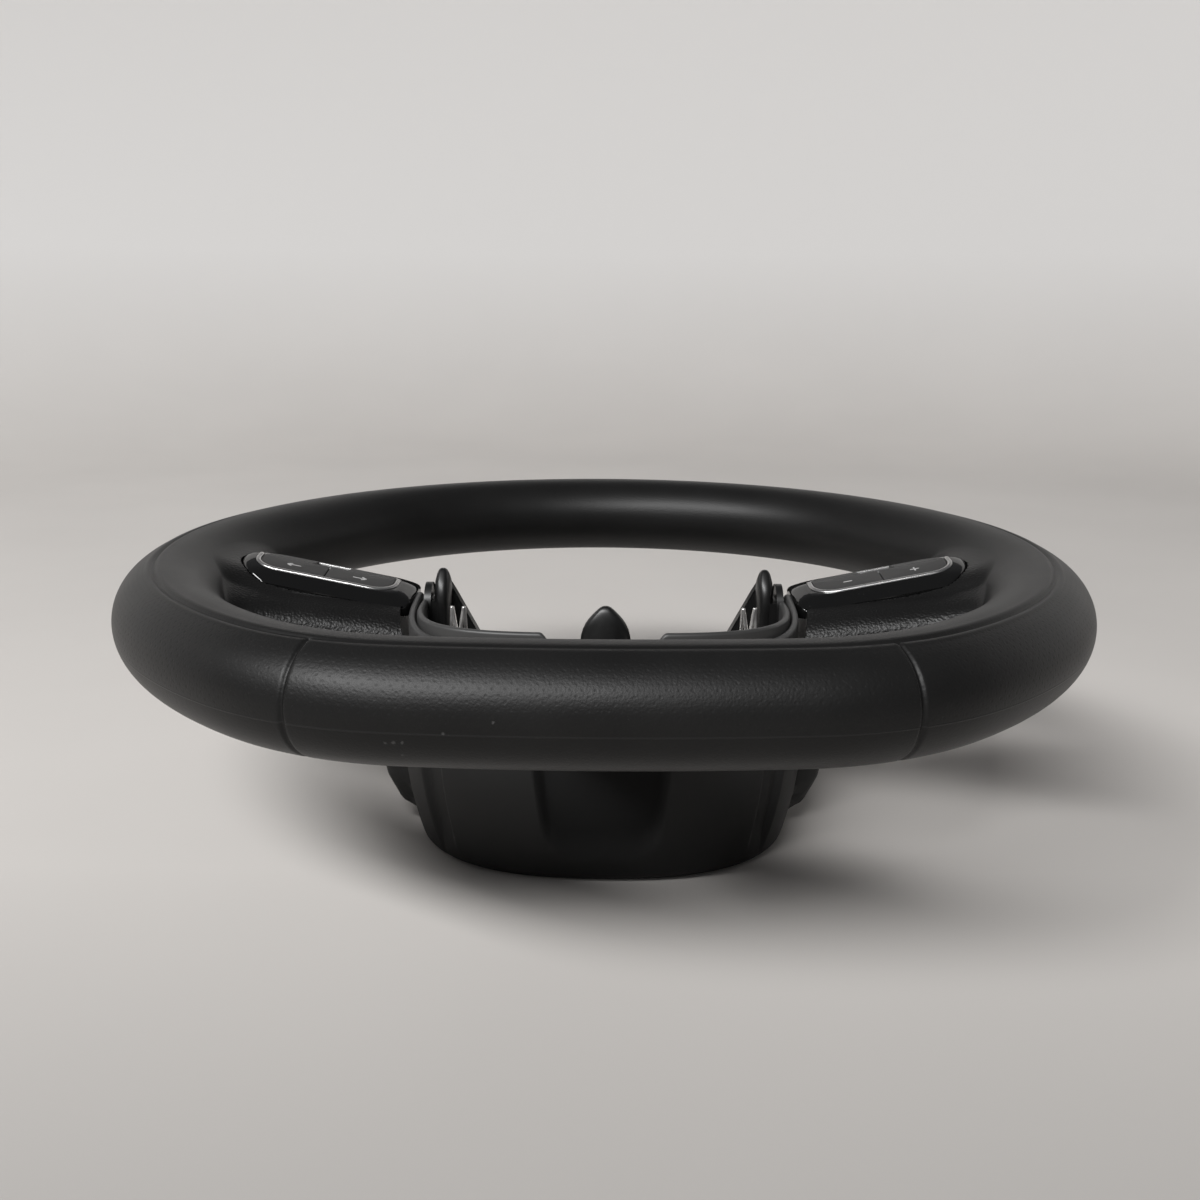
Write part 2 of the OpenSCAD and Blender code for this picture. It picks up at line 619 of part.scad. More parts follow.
module pod_case() {
    color("#141416") {
        difference() {
            translate([0, 0, -pod_deep]) linear_extrude(case_top + pod_deep)
                field_plan(trim_w);
            translate([0, 0, case_floor]) linear_extrude(20) field_plan(0);
        }
        for (x = [-0.7, 0.7]) translate([x * opening_x, 0, -pod_deep - peg_h])
            cylinder(peg_h + 0.5, peg_r, peg_r);
        for (s = [-1, 1]) difference() {
            translate([s * (post_in + post_out) / 2 - (post_out - post_in) / 2,
                roller_y - 2.5, case_floor])
                cube([post_out - post_in, 5, roller_z + 2 - case_floor]);
            translate([0, roller_y, roller_z]) rotate([0, 90, 0])
                cylinder(40, axle_d / 2 + axle_fit, axle_d / 2 + axle_fit, center = true);
        }
    }
}
module pod_board() {
    color("#1d4a2c") difference() {
        translate([0, 0, case_floor]) linear_extrude(board_top - case_floor)
            field_plan(-fit);
        translate([-post_out - fit, roller_y - 2.5 - fit, case_floor - over])
            cube([2 * (post_out + fit), 20, 10]);
    }
}
module pod_surround() {
    hx = pod_len / 2;
    near_z = -opening_y * tan(near_slope);
    far_z = -opening_y * tan(far_slope);
    color("#0b0b0d") difference() {
        hull() {
            pod_slab(foot_z, 3, hx, pod_half);
            intersection() {
                translate([0, 0, -8]) linear_extrude(10)
                    polygon(pod_plan(hx - 4, opening_y + 0.8, 0));
                roof(0);
            }
        }
        translate([0, 0, foot_z - over]) linear_extrude(20) field_plan(trim_w);
    }
}
module pod_trim() {
    color("#b9babc") intersection() {
        translate([0, 0, case_top]) linear_extrude(8) difference() {
            field_plan(trim_w);
            field_plan(0);
        }
        roof(0.25);
    }
}
module key(x0, x1, y0, y1) {
    mid_x = (x0 + x1) / 2;
    mid_y = (y0 + y1) / 2;
    stem_end = board_top + key_travel + run_fit;
    difference() {
        intersection() {
            translate([0, 0, case_top - 1]) linear_extrude(10) intersection() {
                field_plan(-run_fit);
                translate([x0, y0]) square([x1 - x0, y1 - y0]);
            }
            roof(0);
        }
        roof(-key_t);
    }
    translate([mid_x, mid_y, stem_end]) cylinder(0.3 - key_t - stem_end, 2, 2);
}
key_edge = field_len / 2;
module near_inner() {
    key(-key_edge, -key_gap, -field_half, -key_gap);
}
module near_outer() {
    key(key_gap, key_edge, -field_half, -key_gap);
}
module far_inner() {
    key(-key_edge, -post_out - run_fit, key_gap, field_half);
}
module far_outer() {
    key(post_out + run_fit, key_edge, key_gap, field_half);
}
module roller() {
    color("#d2d3d5") translate([0, roller_y, roller_z]) rotate([0, 90, 0]) {
        cylinder(roller_w, roller_d / 2, roller_d / 2, center = true);
        cylinder(2 * (post_out - 0.2), axle_d / 2, axle_d / 2, center = true);
    }
}

module case_left() {
    at_pod(-1) pod_case();
}
module case_right() {
    at_pod(1) pod_case();
}
module board_left() {
    at_pod(-1) pod_board();
}
module board_right() {
    at_pod(1) pod_board();
}
module surround_left() {
    at_pod(-1) pod_surround();
}
module surround_right() {
    at_pod(1) pod_surround();
}
module trim_left() {
    at_pod(-1) pod_trim();
}
module trim_right() {
    at_pod(1) pod_trim();
}
module roller_left() {
    at_pod(-1) roller();
}
module roller_right() {
    at_pod(1) roller();
}
module key_near_inner_left() {
    color("#3a3a3c") at_pod(-1) near_inner();
}
module key_near_outer_left() {
    color("#3a3a3c") at_pod(-1) near_outer();
}
module key_far_inner_left() {
    color("#3a3a3c") at_pod(-1) far_inner();
}
module key_far_outer_left() {
    color("#3a3a3c") at_pod(-1) far_outer();
}
module key_near_inner_right() {
    color("#3a3a3c") at_pod(1) near_inner();
}
module key_near_outer_right() {
    color("#3a3a3c") at_pod(1) near_outer();
}
module key_far_inner_right() {
    color("#3a3a3c") at_pod(1) far_inner();
}
module key_far_outer_right() {
    color("#3a3a3c") at_pod(1) far_outer();
}

armature();
column_boss();
rim_cover();
rear_cover();
hub_bezel();
tongue_left();
tongue_right();
tongue_bottom();
spring_left();
spring_right();
case_left();
board_left();
surround_left();
trim_left();
roller_left();
key_near_inner_left();
key_near_outer_left();
key_far_inner_left();
key_far_outer_left();
case_right();
board_right();
surround_right();
trim_right();
roller_right();
key_near_inner_right();
key_near_outer_right();
key_far_inner_right();
key_far_outer_right();
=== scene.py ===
"""Looks of a car steering wheel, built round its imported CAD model.

Sizes are millimetres, and go to metres where a mesh is made. The frame is the
CAD's: the origin is the rear mouth of the splined bore, +Z runs along the
steering axis to the driver and +Y points to twelve o'clock.
"""

import logging
import math
from dataclasses import dataclass, field
from enum import Enum

import bpy
import numpy as np
from mathutils import Matrix, Vector


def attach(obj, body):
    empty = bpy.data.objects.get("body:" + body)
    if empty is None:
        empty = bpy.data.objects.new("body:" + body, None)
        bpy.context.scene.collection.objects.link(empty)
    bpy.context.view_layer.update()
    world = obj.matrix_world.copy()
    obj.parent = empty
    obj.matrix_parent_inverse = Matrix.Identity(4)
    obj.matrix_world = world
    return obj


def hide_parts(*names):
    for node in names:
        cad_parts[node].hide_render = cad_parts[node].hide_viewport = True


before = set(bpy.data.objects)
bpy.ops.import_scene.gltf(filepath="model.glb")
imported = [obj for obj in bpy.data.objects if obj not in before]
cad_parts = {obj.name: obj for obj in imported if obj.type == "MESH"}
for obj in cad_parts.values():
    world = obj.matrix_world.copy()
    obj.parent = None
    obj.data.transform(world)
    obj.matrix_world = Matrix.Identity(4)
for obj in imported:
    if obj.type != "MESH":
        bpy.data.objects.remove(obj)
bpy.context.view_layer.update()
log = logging.getLogger("steering_wheel")

MM = 0.001
Array = np.ndarray


class Side(Enum):
    """Which side of the wheel a piece sits on, as the driver sees it."""

    LEFT = -1
    RIGHT = 1

    @property
    def word(self) -> str:
        """The side's name as the CAD nodes spell it."""
        return self.name.lower()


# ---------------------------------------------------------------- shapes


def smooth(x: Array) -> Array:
    """Rises from 0 to 1 with level ends: 3x squared less 2x cubed, held to 0..1."""
    x = np.clip(x, 0.0, 1.0)
    return x * x * (3 - 2 * x)


def bell(x: Array, width: float) -> Array:
    """A rounded hump of height 1 at 0: e to the minus (x / width) squared."""
    return np.exp(-((x / width) ** 2))


def cos_deg(a: Array) -> Array:
    """Cosine of an angle in degrees."""
    return np.cos(np.radians(a))


def sin_deg(a: Array) -> Array:
    """Sine of an angle in degrees."""
    return np.sin(np.radians(a))


def spread(start: float, end: float, count: int) -> Array:
    """Evenly spaced values after start, up to and with end."""
    return start + (end - start) * np.arange(1, count + 1) / count


def unit(v: Array) -> Array:
    """Vectors at length 1."""
    return v / np.maximum(np.linalg.norm(v, axis=-1, keepdims=True), 1e-12)


def soft_max(a: Array, b: Array, reach: float) -> Array:
    """The larger of two values, with the corner between them rounded over reach."""
    h = np.clip(0.5 + 0.5 * (a - b) / reach, 0.0, 1.0)
    return b + (a - b) * h + reach * h * (1 - h)


def once_round(count: int) -> Array:
    """Evenly spaced angles once round, in degrees."""
    return np.linspace(0, 360, count, endpoint=False)


def on_circle(angle: Array, radius: Array | float = 1.0) -> Array:
    """Points in plan at an angle in degrees and a distance from the origin."""
    return np.stack([radius * cos_deg(angle), radius * sin_deg(angle)], axis=-1)


def at_height(flat: Array, z: Array | float) -> Array:
    """Points in space, from points in plan and the height of each."""
    z = np.broadcast_to(z, flat.shape[:-1])
    return np.concatenate([flat, z[..., None]], axis=-1)


def looped(grid: Array, axis: int = 1) -> Array:
    """A grid with its first row (axis 0) or column (axis 1) once more at its end."""
    return np.concatenate([grid, np.take(grid, [0], axis)], axis)


def outline_distance(points: Array, outline: Array) -> Array:
    """How far points lie outside a closed outline, less than 0 inside it.

    The distance to each edge is that to the foot of the perpendicular, held to the
    edge's two ends, and the sign comes from how often a ray crosses the outline.

    Args:
        points: Places, (n, 2).
        outline: The outline's corners in order, (k, 2).

    Returns:
        Signed distances, (n,).
    """
    a, b = outline, np.roll(outline, -1, axis=0)
    edge = b - a
    rel = points[:, None] - a[None]
    along = np.clip((rel * edge).sum(-1) / (edge * edge).sum(-1), 0, 1)
    gap = np.linalg.norm(rel - edge * along[..., None], axis=-1).min(1)
    y = points[:, 1, None]
    crosses = (a[:, 1] > y) != (b[:, 1] > y)
    lift = np.where(edge[:, 1] == 0, 1e-12, edge[:, 1])
    left_of = points[:, 0, None] < a[:, 0] + (y - a[:, 1]) * edge[:, 0] / lift
    inside = (crosses & left_of).sum(1) % 2 == 1
    return np.where(inside, -gap, gap)


@dataclass
class Surface:
    """Points and faces of one piece while it is put together, in millimetres."""

    points: list[Array] = field(default_factory=list)
    faces: list[Array] = field(default_factory=list)
    corners: list[Array] = field(default_factory=list)
    marks: list[Array] = field(default_factory=list)
    count: int = 0

    def add(self, points: Array, mark: Array | None = None) -> Array:
        """Adds points.

        Args:
            points: Places, (..., 3).
            mark: A number for each point, kept as the attribute "mark".

        Returns:
            The points' numbers, in the shape of the input.
        """
        shape = points.shape[:-1]
        total = int(np.prod(shape))
        self.points.append(points.reshape(-1, 3))
        self.marks.append(np.zeros(total) if mark is None else mark.reshape(-1))
        numbers = np.arange(self.count, self.count + total).reshape(shape)
        self.count += total
        return numbers

    def mesh_between(self, numbers: Array, flat: Array | None = None,
                     keep: Array | None = None) -> None:
        """Adds the quads of a grid: each joins a point, the next across and down.

        Args:
            numbers: Point numbers, (rows, columns), looped where the grid closes on
                itself.
            flat: Texture place of each grid point, (rows, columns, 2).
            keep: Which quads to keep, (rows - 1, columns - 1).
        """
        quads = np.stack([numbers[:-1, :-1], numbers[:-1, 1:], numbers[1:, 1:],
                          numbers[1:, :-1]], axis=-1)
        if flat is None:
            flat = np.full(numbers.shape + (2,), -1.0)
        uv = np.stack([flat[:-1, :-1], flat[:-1, 1:], flat[1:, 1:], flat[1:, :-1]],
                      axis=-2)
        if keep is not None:
            quads, uv = quads[keep], uv[keep]
        self.faces.append(quads.reshape(-1, 4))
        self.corners.append(uv.reshape(-1, 4, 2))

    def stack(self, rings: Array, closed: bool = False,
              mark: Array | None = None) -> None:
        """Adds rings of points joined into a skin.

        Args:
            rings: (rings, points, 3); each ring closes on itself.
            closed: True joins the last ring to the first, False caps both ends
                with a fan to the middle of the end ring.
            mark: A number for each point.
        """
        numbers = looped(self.add(rings, mark))
        if closed:
            self.mesh_between(looped(numbers, 0))
            return
        self.mesh_between(numbers)
        for ring in (0, -1):
            self.fan(numbers[ring], rings[ring].mean(0))

    def fan(self, ring: Array, tip: Array) -> None:
        """Closes a ring of point numbers with triangles to a new point, tip."""
        middle = int(self.add(np.asarray(tip, float)[None])[0])
        tips = np.full(len(ring) - 1, middle)
        self.faces.append(np.stack([ring[:-1], ring[1:], tips, tips], axis=-1))
        self.corners.append(np.full((len(ring) - 1, 4, 2), -1.0))

    def build(self, name: str, sharp: float = 40.0) -> bpy.types.Object:
        """Makes the Blender object: merges equal points and turns faces outwards.

        Args:
            name: The piece's name.
            sharp: Edges that bend by more than this many degrees stay crisp.

        Returns:
            The object, linked to the scene, its place in its mesh.
        """
        points = np.concatenate(self.points)
        quads = np.concatenate(self.faces)
        uv = np.concatenate(self.corners)
        marks = np.concatenate(self.marks)
        _, first, back = np.unique(np.round(points, 4), axis=0,
                                   return_index=True, return_inverse=True)
        points, marks, quads = points[first], marks[first], back.reshape(-1)[quads]
        # A corner equal to the one before it falls out, so some quads become triangles.
        keep = quads != np.roll(quads, 1, axis=1)
        size = keep.sum(1)
        keep &= (size > 2)[:, None]
        size = size[size > 2]
        mesh = bpy.data.meshes.new(name)
        mesh.vertices.add(len(points))
        mesh.vertices.foreach_set("co", (points * MM).astype(np.float32).ravel())
        mesh.loops.add(int(size.sum()))
        mesh.loops.foreach_set("vertex_index", quads[keep].astype(np.int32))
        mesh.polygons.add(len(size))
        mesh.polygons.foreach_set(
            "loop_start", np.concatenate([[0], np.cumsum(size)[:-1]]).astype(np.int32))
        mesh.update(calc_edges=True)
        layer = mesh.uv_layers.new(name="flat")
        layer.data.foreach_set("uv", (uv[keep] * MM).astype(np.float32).ravel())
        attribute = mesh.attributes.new("mark", "FLOAT", "POINT")
        attribute.data.foreach_set("value", marks.astype(np.float32))
        if signed_volume(points, quads) < 0:
            mesh.flip_normals()
        mesh.polygons.foreach_set("use_smooth", np.ones(len(size), bool))
        mesh.set_sharp_from_angle(angle=math.radians(sharp))
        mesh.validate()
        piece = bpy.data.objects.new(name, mesh)
        bpy.context.scene.collection.objects.link(piece)
        return piece


def signed_volume(points: Array, quads: Array) -> float:
    """Volume that faces enclose, less than 0 where they point inwards."""
    a, b, c, d = (points[quads[:, k]] for k in range(4))
    return float((np.cross(a, b) * c).sum() + (np.cross(a, c) * d).sum()) / 6


def solid(name: str, *stacks: Array, sharp: float = 40.0, closed: bool = False,
          mark: Array | None = None) -> bpy.types.Object:
    """Makes one piece out of stacks of rings, as Surface.stack and build say."""
    surface = Surface()
    for rings in stacks:
        surface.stack(rings, closed, mark)
    return surface.build(name, sharp)


def place(points: Array, side: Side) -> Array:
    """Mirrors points for the left side of the wheel."""
    return points * np.array([side.value, 1.0, 1.0])


# ---------------------------------------------------------------- shader maths


class Wire:
    """A shader socket that takes part in Python expressions on numbers."""

    def __init__(self, sheet: "Sheet", socket: bpy.types.NodeSocket) -> None:
        """Wraps one output socket of a material's node."""
        self.sheet = sheet
        self.socket = socket

    def maths(self, operation: str, *others: "Wire | float") -> "Wire":
        """Adds a Math node that takes this wire and then the others, in order."""
        return self.sheet.node("ShaderNodeMath", {"operation": operation},
                               dict(enumerate((self, *others))))

    def __add__(self, other: "Wire | float") -> "Wire":
        """Sum."""
        return self.maths("ADD", other)

    __radd__ = __add__

    def __sub__(self, other: "Wire | float") -> "Wire":
        """Difference."""
        return self.maths("SUBTRACT", other)

    def __rsub__(self, other: float) -> "Wire":
        """Difference from a number."""
        return self.maths("MULTIPLY_ADD", -1.0, other)

    def __mul__(self, other: "Wire | float") -> "Wire":
        """Product."""
        return self.maths("MULTIPLY", other)

    __rmul__ = __mul__

    def __truediv__(self, other: "Wire | float") -> "Wire":
        """Quotient."""
        return self.maths("DIVIDE", other)

    def __pow__(self, other: float) -> "Wire":
        """Power."""
        return self.maths("POWER", other)

    def step(self, start: float, end: float) -> "Wire":
        """0 before start, 1 after end and a straight rise between; end may be first."""
        return self.sheet.node("ShaderNodeMapRange", {"clamp": True}, {
            "Value": self, "From Min": start, "From Max": end}, "Result")


class Sheet:
    """One material's node tree, and the ways to add to it."""

    def __init__(self, name: str) -> None:
        """Starts a material with a Principled shader."""
        self.material = bpy.data.materials.new(name)
        self.material.use_nodes = True
        self.tree = self.material.node_tree
        self.shader = self.tree.nodes["Principled BSDF"]

    def node(self, kind: str, settings: dict, inputs: dict,
             output: str | int = 0) -> Wire:
        """Adds one node.

        Args:
            kind: Blender's name of the node's type.
            settings: The node's own options, set before its sockets.
            inputs: Values or wires by socket name or number.
            output: The output socket to hand back.

        Returns:
            That output, wrapped.
        """
        made = self.tree.nodes.new(kind)
        for key, value in settings.items():
            setattr(made, key, value)
        for key, value in inputs.items():
            self.feed(made.inputs[key], value)
        return Wire(self, made.outputs[output])

    def feed(self, socket: bpy.types.NodeSocket, value: "Wire | float | tuple") -> None:
        """Links a wire to a socket, or sets the socket's own value."""
        if isinstance(value, Wire):
            self.tree.links.new(value.socket, socket)
        else:
            socket.default_value = value

    def set(self, name: str, value: "Wire | float | tuple") -> None:
        """Feeds a socket of the shader."""
        self.feed(self.shader.inputs[name], value)

    def place(self) -> Wire:
        """Object coordinates, in metres."""
        return self.node("ShaderNodeTexCoord", {}, {}, "Object")

    def mark(self) -> Wire:
        """The number that the piece's points carry as "mark"."""
        return self.node("ShaderNodeAttribute", {"attribute_name": "mark"}, {}, "Fac")

    def part(self, vector: Wire, axis: str) -> Wire:
        """One coordinate, X, Y or Z, of a vector."""
        return self.node("ShaderNodeSeparateXYZ", {}, {"Vector": vector}, axis)

    def noise(self, size: float, detail: float = 2.0, rough: float = 0.5) -> Wire:
        """Noise of 0..1 whose lumps are about size millimetres across."""
        return self.node("ShaderNodeTexNoise", {}, {
            "Vector": self.place(), "Scale": 1 / (size * MM), "Detail": detail,
            "Roughness": rough}, "Fac")

    def cells(self, size: float, feature: str = "F1", spread: float = 1.0) -> Wire:
        """Distance from the nearest cell's middle, for cells of size millimetres."""
        return self.node("ShaderNodeTexVoronoi", {"feature": feature}, {
            "Vector": self.place(), "Scale": 1 / (size * MM), "Randomness": spread},
            "Distance")

    def blend(self, share: "Wire | float", a: "Wire | tuple",
              b: "Wire | tuple") -> Wire:
        """Colour a where share is 0 and b where it is 1."""
        return self.node("ShaderNodeMix", {"data_type": "RGBA"},
                         {"Factor": share, 6: a, 7: b}, 2)

    def relief(self, height: Wire) -> None:
        """Raises the surface's shading by a height in millimetres."""
        self.set("Normal", self.node("ShaderNodeBump", {}, {
            "Height": height, "Strength": 1.0, "Distance": MM}, "Normal"))


def rgb(level: float, warm: float = 0.0) -> tuple[float, float, float, float]:
    """A grey of that linear level, a little warmer or cooler."""
    return (level * (1 + warm), level, level * (1 - warm), 1.0)


# ---------------------------------------------------------------- finishes


@dataclass(frozen=True)
class Finish:
    """A surface finish. Each kind adds its own nodes in dress()."""

    name: str
    level: float = 0.02
    roughness: float = 0.5
    warm: float = 0.0

    def make(self) -> bpy.types.Material:
        """Builds the material."""
        sheet = Sheet(self.name)
        self.dress(sheet)
        return sheet.material

    def dress(self, sheet: Sheet) -> None:
        """Adds this finish's nodes."""
        raise NotImplementedError

    def clouded(self, sheet: Sheet, haze: Wire, swing: float) -> Wire:
        """The finish's grey, darker and lighter by a share of it along a noise."""
        return sheet.blend(haze.step(0.3, 0.7),
                           rgb(self.level * (1 - swing), self.warm),
                           rgb(self.level * (1 + swing), self.warm))


@dataclass(frozen=True)
class GripSkin(Finish):
    """Black moulded skin: fine grain, pebbles on the spokes, perforated grip, with
    painted shade in the pits and a painted highlight along the parting line.

    The perforations are rows of round pits on the skin's own texture places, each
    row shifted by half a pitch against the last. Sizes are millimetres: pitch along
    the ring, row up the section, pit a pit's radius, and parting_at the parting
    line's way up the section from the outermost line. A scuff is x, y, z and radius.
    """

    pitch: float = 3.2
    row: float = 1.8
    pit: float = 0.56
    parting_at: float = -2.8035
    shine: float = 0.28
    scuffs: tuple[tuple[float, float, float, float], ...] = ()

    def dress(self, sheet: Sheet) -> None:
        """Pits with painted shade, grain, the parting line with a painted highlight,
        and scuffs.
        """
        mark = sheet.mark()
        grip = mark.step(0.35, 1.0)
        spoke = (0.0 - mark).step(0.1, 1.0)
        uv = sheet.node("ShaderNodeUVMap", {"uv_map": "flat"}, {})
        across, up = sheet.part(uv, "X"), sheet.part(uv, "Y")
        rows = up / (self.row * MM)
        shift = rows.maths("FLOOR").maths("MODULO", 2.0)
        along = across / (self.pitch * MM) + shift * 0.5
        du = (along.maths("FRACT") - 0.5) * self.pitch
        dv = (rows.maths("FRACT") - 0.5) * self.row
        away = (du * du + dv * dv) ** 0.5
        pit = away.step(self.pit, self.pit * 0.35) * grip
        parting = (up / MM - self.parting_at).maths("ABSOLUTE").step(0.34, 0.05)
        lump = sheet.noise(0.55, 3.0, 0.6)
        pebble = sheet.cells(0.85, "SMOOTH_F1")
        haze = sheet.noise(24.0, 3.0)
        sheet.relief(lump * (0.05 + spoke * 0.02) + pebble * (spoke * 0.15 + 0.03)
                     - pit * 0.022 + parting * 0.09)
        scuff = self.scuffed(sheet)
        base = self.clouded(sheet, haze, 0.14)
        # Painted shade: each pit is darkened a quarter of the way to 0.45 of the skin's
        # grey, as shade inside the hole.
        base = sheet.blend(pit * 0.25, base, rgb(self.level * 0.45))
        # Painted highlight: the parting line's ridge is lightened halfway to 3.2 times
        # the skin's grey, as light catching it.
        base = sheet.blend(parting * 0.5, base, rgb(self.level * 3.2))
        sheet.set("Base Color", sheet.blend(scuff, base, rgb(0.21, 0.01)))
        sheet.set("Roughness", (self.roughness - 0.05) + haze * 0.07 + lump * 0.05
                  + pit * 0.06 + scuff * 0.1 - spoke * 0.05)
        sheet.set("Specular IOR Level", self.shine)

    def scuffed(self, sheet: Sheet) -> Wire:
        """Pale rubbed spots: near each given place, broken up by noise."""
        grain = sheet.noise(0.8, 3.0, 0.7)
        total: Wire | float = 0.0
        for x, y, z, radius in self.scuffs:
            away = sheet.node("ShaderNodeVectorMath", {"operation": "DISTANCE"}, {
                0: sheet.place(), 1: (x * MM, y * MM, z * MM)}, "Value") / MM
            spot = (away + grain * (radius * 2.2)).step(radius * 1.9, radius * 0.6)
            total = spot + total
        return total.step(0.0, 2.2)


@dataclass(frozen=True)
class MouldedPlastic(Finish):
    """Matt plastic from an eroded mould: fine even texture and slow haze, and painted
    shade, near black, where the piece's mark says it lies in a recess.
    """

    texture: float = 0.35
    depth: float = 0.03
    gloss: float = 0.5

    def dress(self, sheet: Sheet) -> None:
        """Texture, haze and the painted shade of recesses."""
        fine = sheet.noise(self.texture, 2.0, 0.6)
        haze = sheet.noise(19.0, 3.0)
        # How far a place lies in a recess, 0 to 1; below it sets the painted shade.
        sunk = sheet.mark()
        sheet.relief(fine * self.depth)
        base = self.clouded(sheet, haze, 0.12)
        # Painted shade: in a recess the grey goes most of the way to near black.
        sheet.set("Base Color", sheet.blend(sunk * 0.7, base, rgb(0.001)))
        sheet.set("Roughness", (self.roughness - 0.05) + haze * 0.06 + fine * 0.05
                  + sunk * 0.25)
        sheet.set("Specular IOR Level", self.gloss)


@dataclass(frozen=True)
class Gloss(Finish):
    """Polished black plastic with faint swirls and a little dust."""

    dust: float = 0.05

    def dress(self, sheet: Sheet) -> None:
        """Swirls in the roughness, dust in the colour."""
        swirl = sheet.noise(6.0, 5.0, 0.7)
        dusty = sheet.noise(5.0, 2.0).step(0.5, 0.62)
        speck = sheet.cells(1.7).step(0.16, 0.05) * dusty
        sheet.set("Base Color", sheet.blend(speck * self.dust, rgb(self.level),
                                            rgb(0.3, 0.02)))
        sheet.set("Roughness", self.roughness + swirl.step(0.45, 0.75) * 0.06
                  + speck * 0.1)
        sheet.relief(sheet.noise(3.0, 1.0) * 0.012)


@dataclass(frozen=True)
class Metal(Finish):
    """Bare or plated metal: a metallic base with grain and a few dull spots."""

    grain: float = 0.6
    depth: float = 0.01
    dull: float = 0.15

    def dress(self, sheet: Sheet) -> None:
        """Grain in the relief, dull spots in colour and roughness."""
        grain = sheet.noise(self.grain, 3.0, 0.6)
        spots = sheet.noise(4.0, 4.0, 0.65).step(0.45, 0.75)
        sheet.relief(grain * self.depth)
        sheet.set("Metallic", 1.0)
        sheet.set("Base Color", sheet.blend(
            spots * self.dull, rgb(self.level, self.warm),
            rgb(self.level * 0.55, self.warm + 0.03)))
        sheet.set("Roughness", self.roughness + grain * 0.08 + spots * self.dull * 0.6)


@dataclass(frozen=True)
class SolderMask(Finish):
    """A green circuit board with paler tracks along a grid."""

    def dress(self, sheet: Sheet) -> None:
        """Tracks from stepped cells."""
        track = sheet.cells(1.6, "DISTANCE_TO_EDGE", 0.0).step(0.1, 0.06)
        keep = sheet.noise(5.0, 1.0).step(0.5, 0.55)
        sheet.set("Base Color", sheet.blend(track * keep, (0.012, 0.075, 0.03, 1.0),
                                            (0.03, 0.15, 0.06, 1.0)))
        sheet.set("Roughness", self.roughness + track * 0.1)
        sheet.relief(track * keep * 0.03)


@dataclass(frozen=True)
class Ground(Finish):
    """Pale matt floor, faintly clouded and paler up the wall. Towards the front it
    darkens to front times its grey, which is painted shade.
    """

    wall: float = 0.7
    front: float = 0.66

    def dress(self, sheet: Sheet) -> None:
        """Slow clouds in the colour, the painted shade along the floor in front, and
        the paler wall.
        """
        base = self.clouded(sheet, sheet.noise(260.0, 3.0), 0.03)
        # Painted shade: towards the front (-y) the floor darkens to front times its
        # grey.
        near = sheet.part(sheet.place(), "Y").step(-0.05, -0.25)
        base = sheet.blend(near, base, rgb(self.level * self.front, self.warm))
        high = sheet.part(sheet.place(), "Z").step(-0.02, 0.25)
        base = sheet.blend(high, base, rgb(self.wall, self.warm * 0.4))
        sheet.set("Base Color", base)
        sheet.set("Roughness", self.roughness)


@dataclass(frozen=True)
class Finishes:
    """Every finish on the wheel."""

    skin: GripSkin = GripSkin("grip_skin", 0.006, 0.42, 0.02, scuffs=(
        (-40.5, -160.0, 64.6, 0.7), (-27.6, -160.8, 68.0, 0.6),
        (-55.8, -158.0, 61.3, 0.7), (-53.7, -158.2, 61.4, 0.9),
        (-51.3, -158.4, 61.5, 0.8), (-51.8, -156.3, 57.4, 0.6)))
    cover: MouldedPlastic = MouldedPlastic("cover_plastic", 0.01, 0.6, gloss=0.32)
    bezel: MouldedPlastic = MouldedPlastic("bezel_satin", 0.04, 0.42, 0.01,
                                           texture=0.25, depth=0.012)
    key: MouldedPlastic = MouldedPlastic("key_grey", 0.032, 0.5, 0.02, texture=0.2,
                                         depth=0.01)
    case: MouldedPlastic = MouldedPlastic("case_plastic", 0.01, 0.45)
    guide: Gloss = Gloss("guide_plastic", 0.005, 0.36)
    gloss: Gloss = Gloss("gloss_black", 0.004, 0.06)
    chrome: Metal = Metal("satin_chrome", 0.62, 0.24, 0.01, grain=0.2, depth=0.003,
                          dull=0.08)
    roller: Metal = Metal("roller_metal", 0.2, 0.42, grain=0.3, depth=0.003, dull=0.1)
    wire: Metal = Metal("spring_wire", 0.9, 0.36, 0.02, grain=0.4, depth=0.006,
                        dull=0.3)
    alloy: Metal = Metal("cast_metal", 0.42, 0.42, 0.01, grain=0.5, depth=0.05,
                         dull=0.3)
    steel: Metal = Metal("steel", 0.36, 0.3, 0.01, grain=0.25, depth=0.01, dull=0.3)
    board: SolderMask = SolderMask("board", 0.05, 0.35)
    legend: MouldedPlastic = MouldedPlastic("key_legend", 0.42, 0.55, 0.01,
                                            texture=0.2, depth=0.003)
    ground: Ground = Ground("ground", 0.55, 0.85, 0.045)


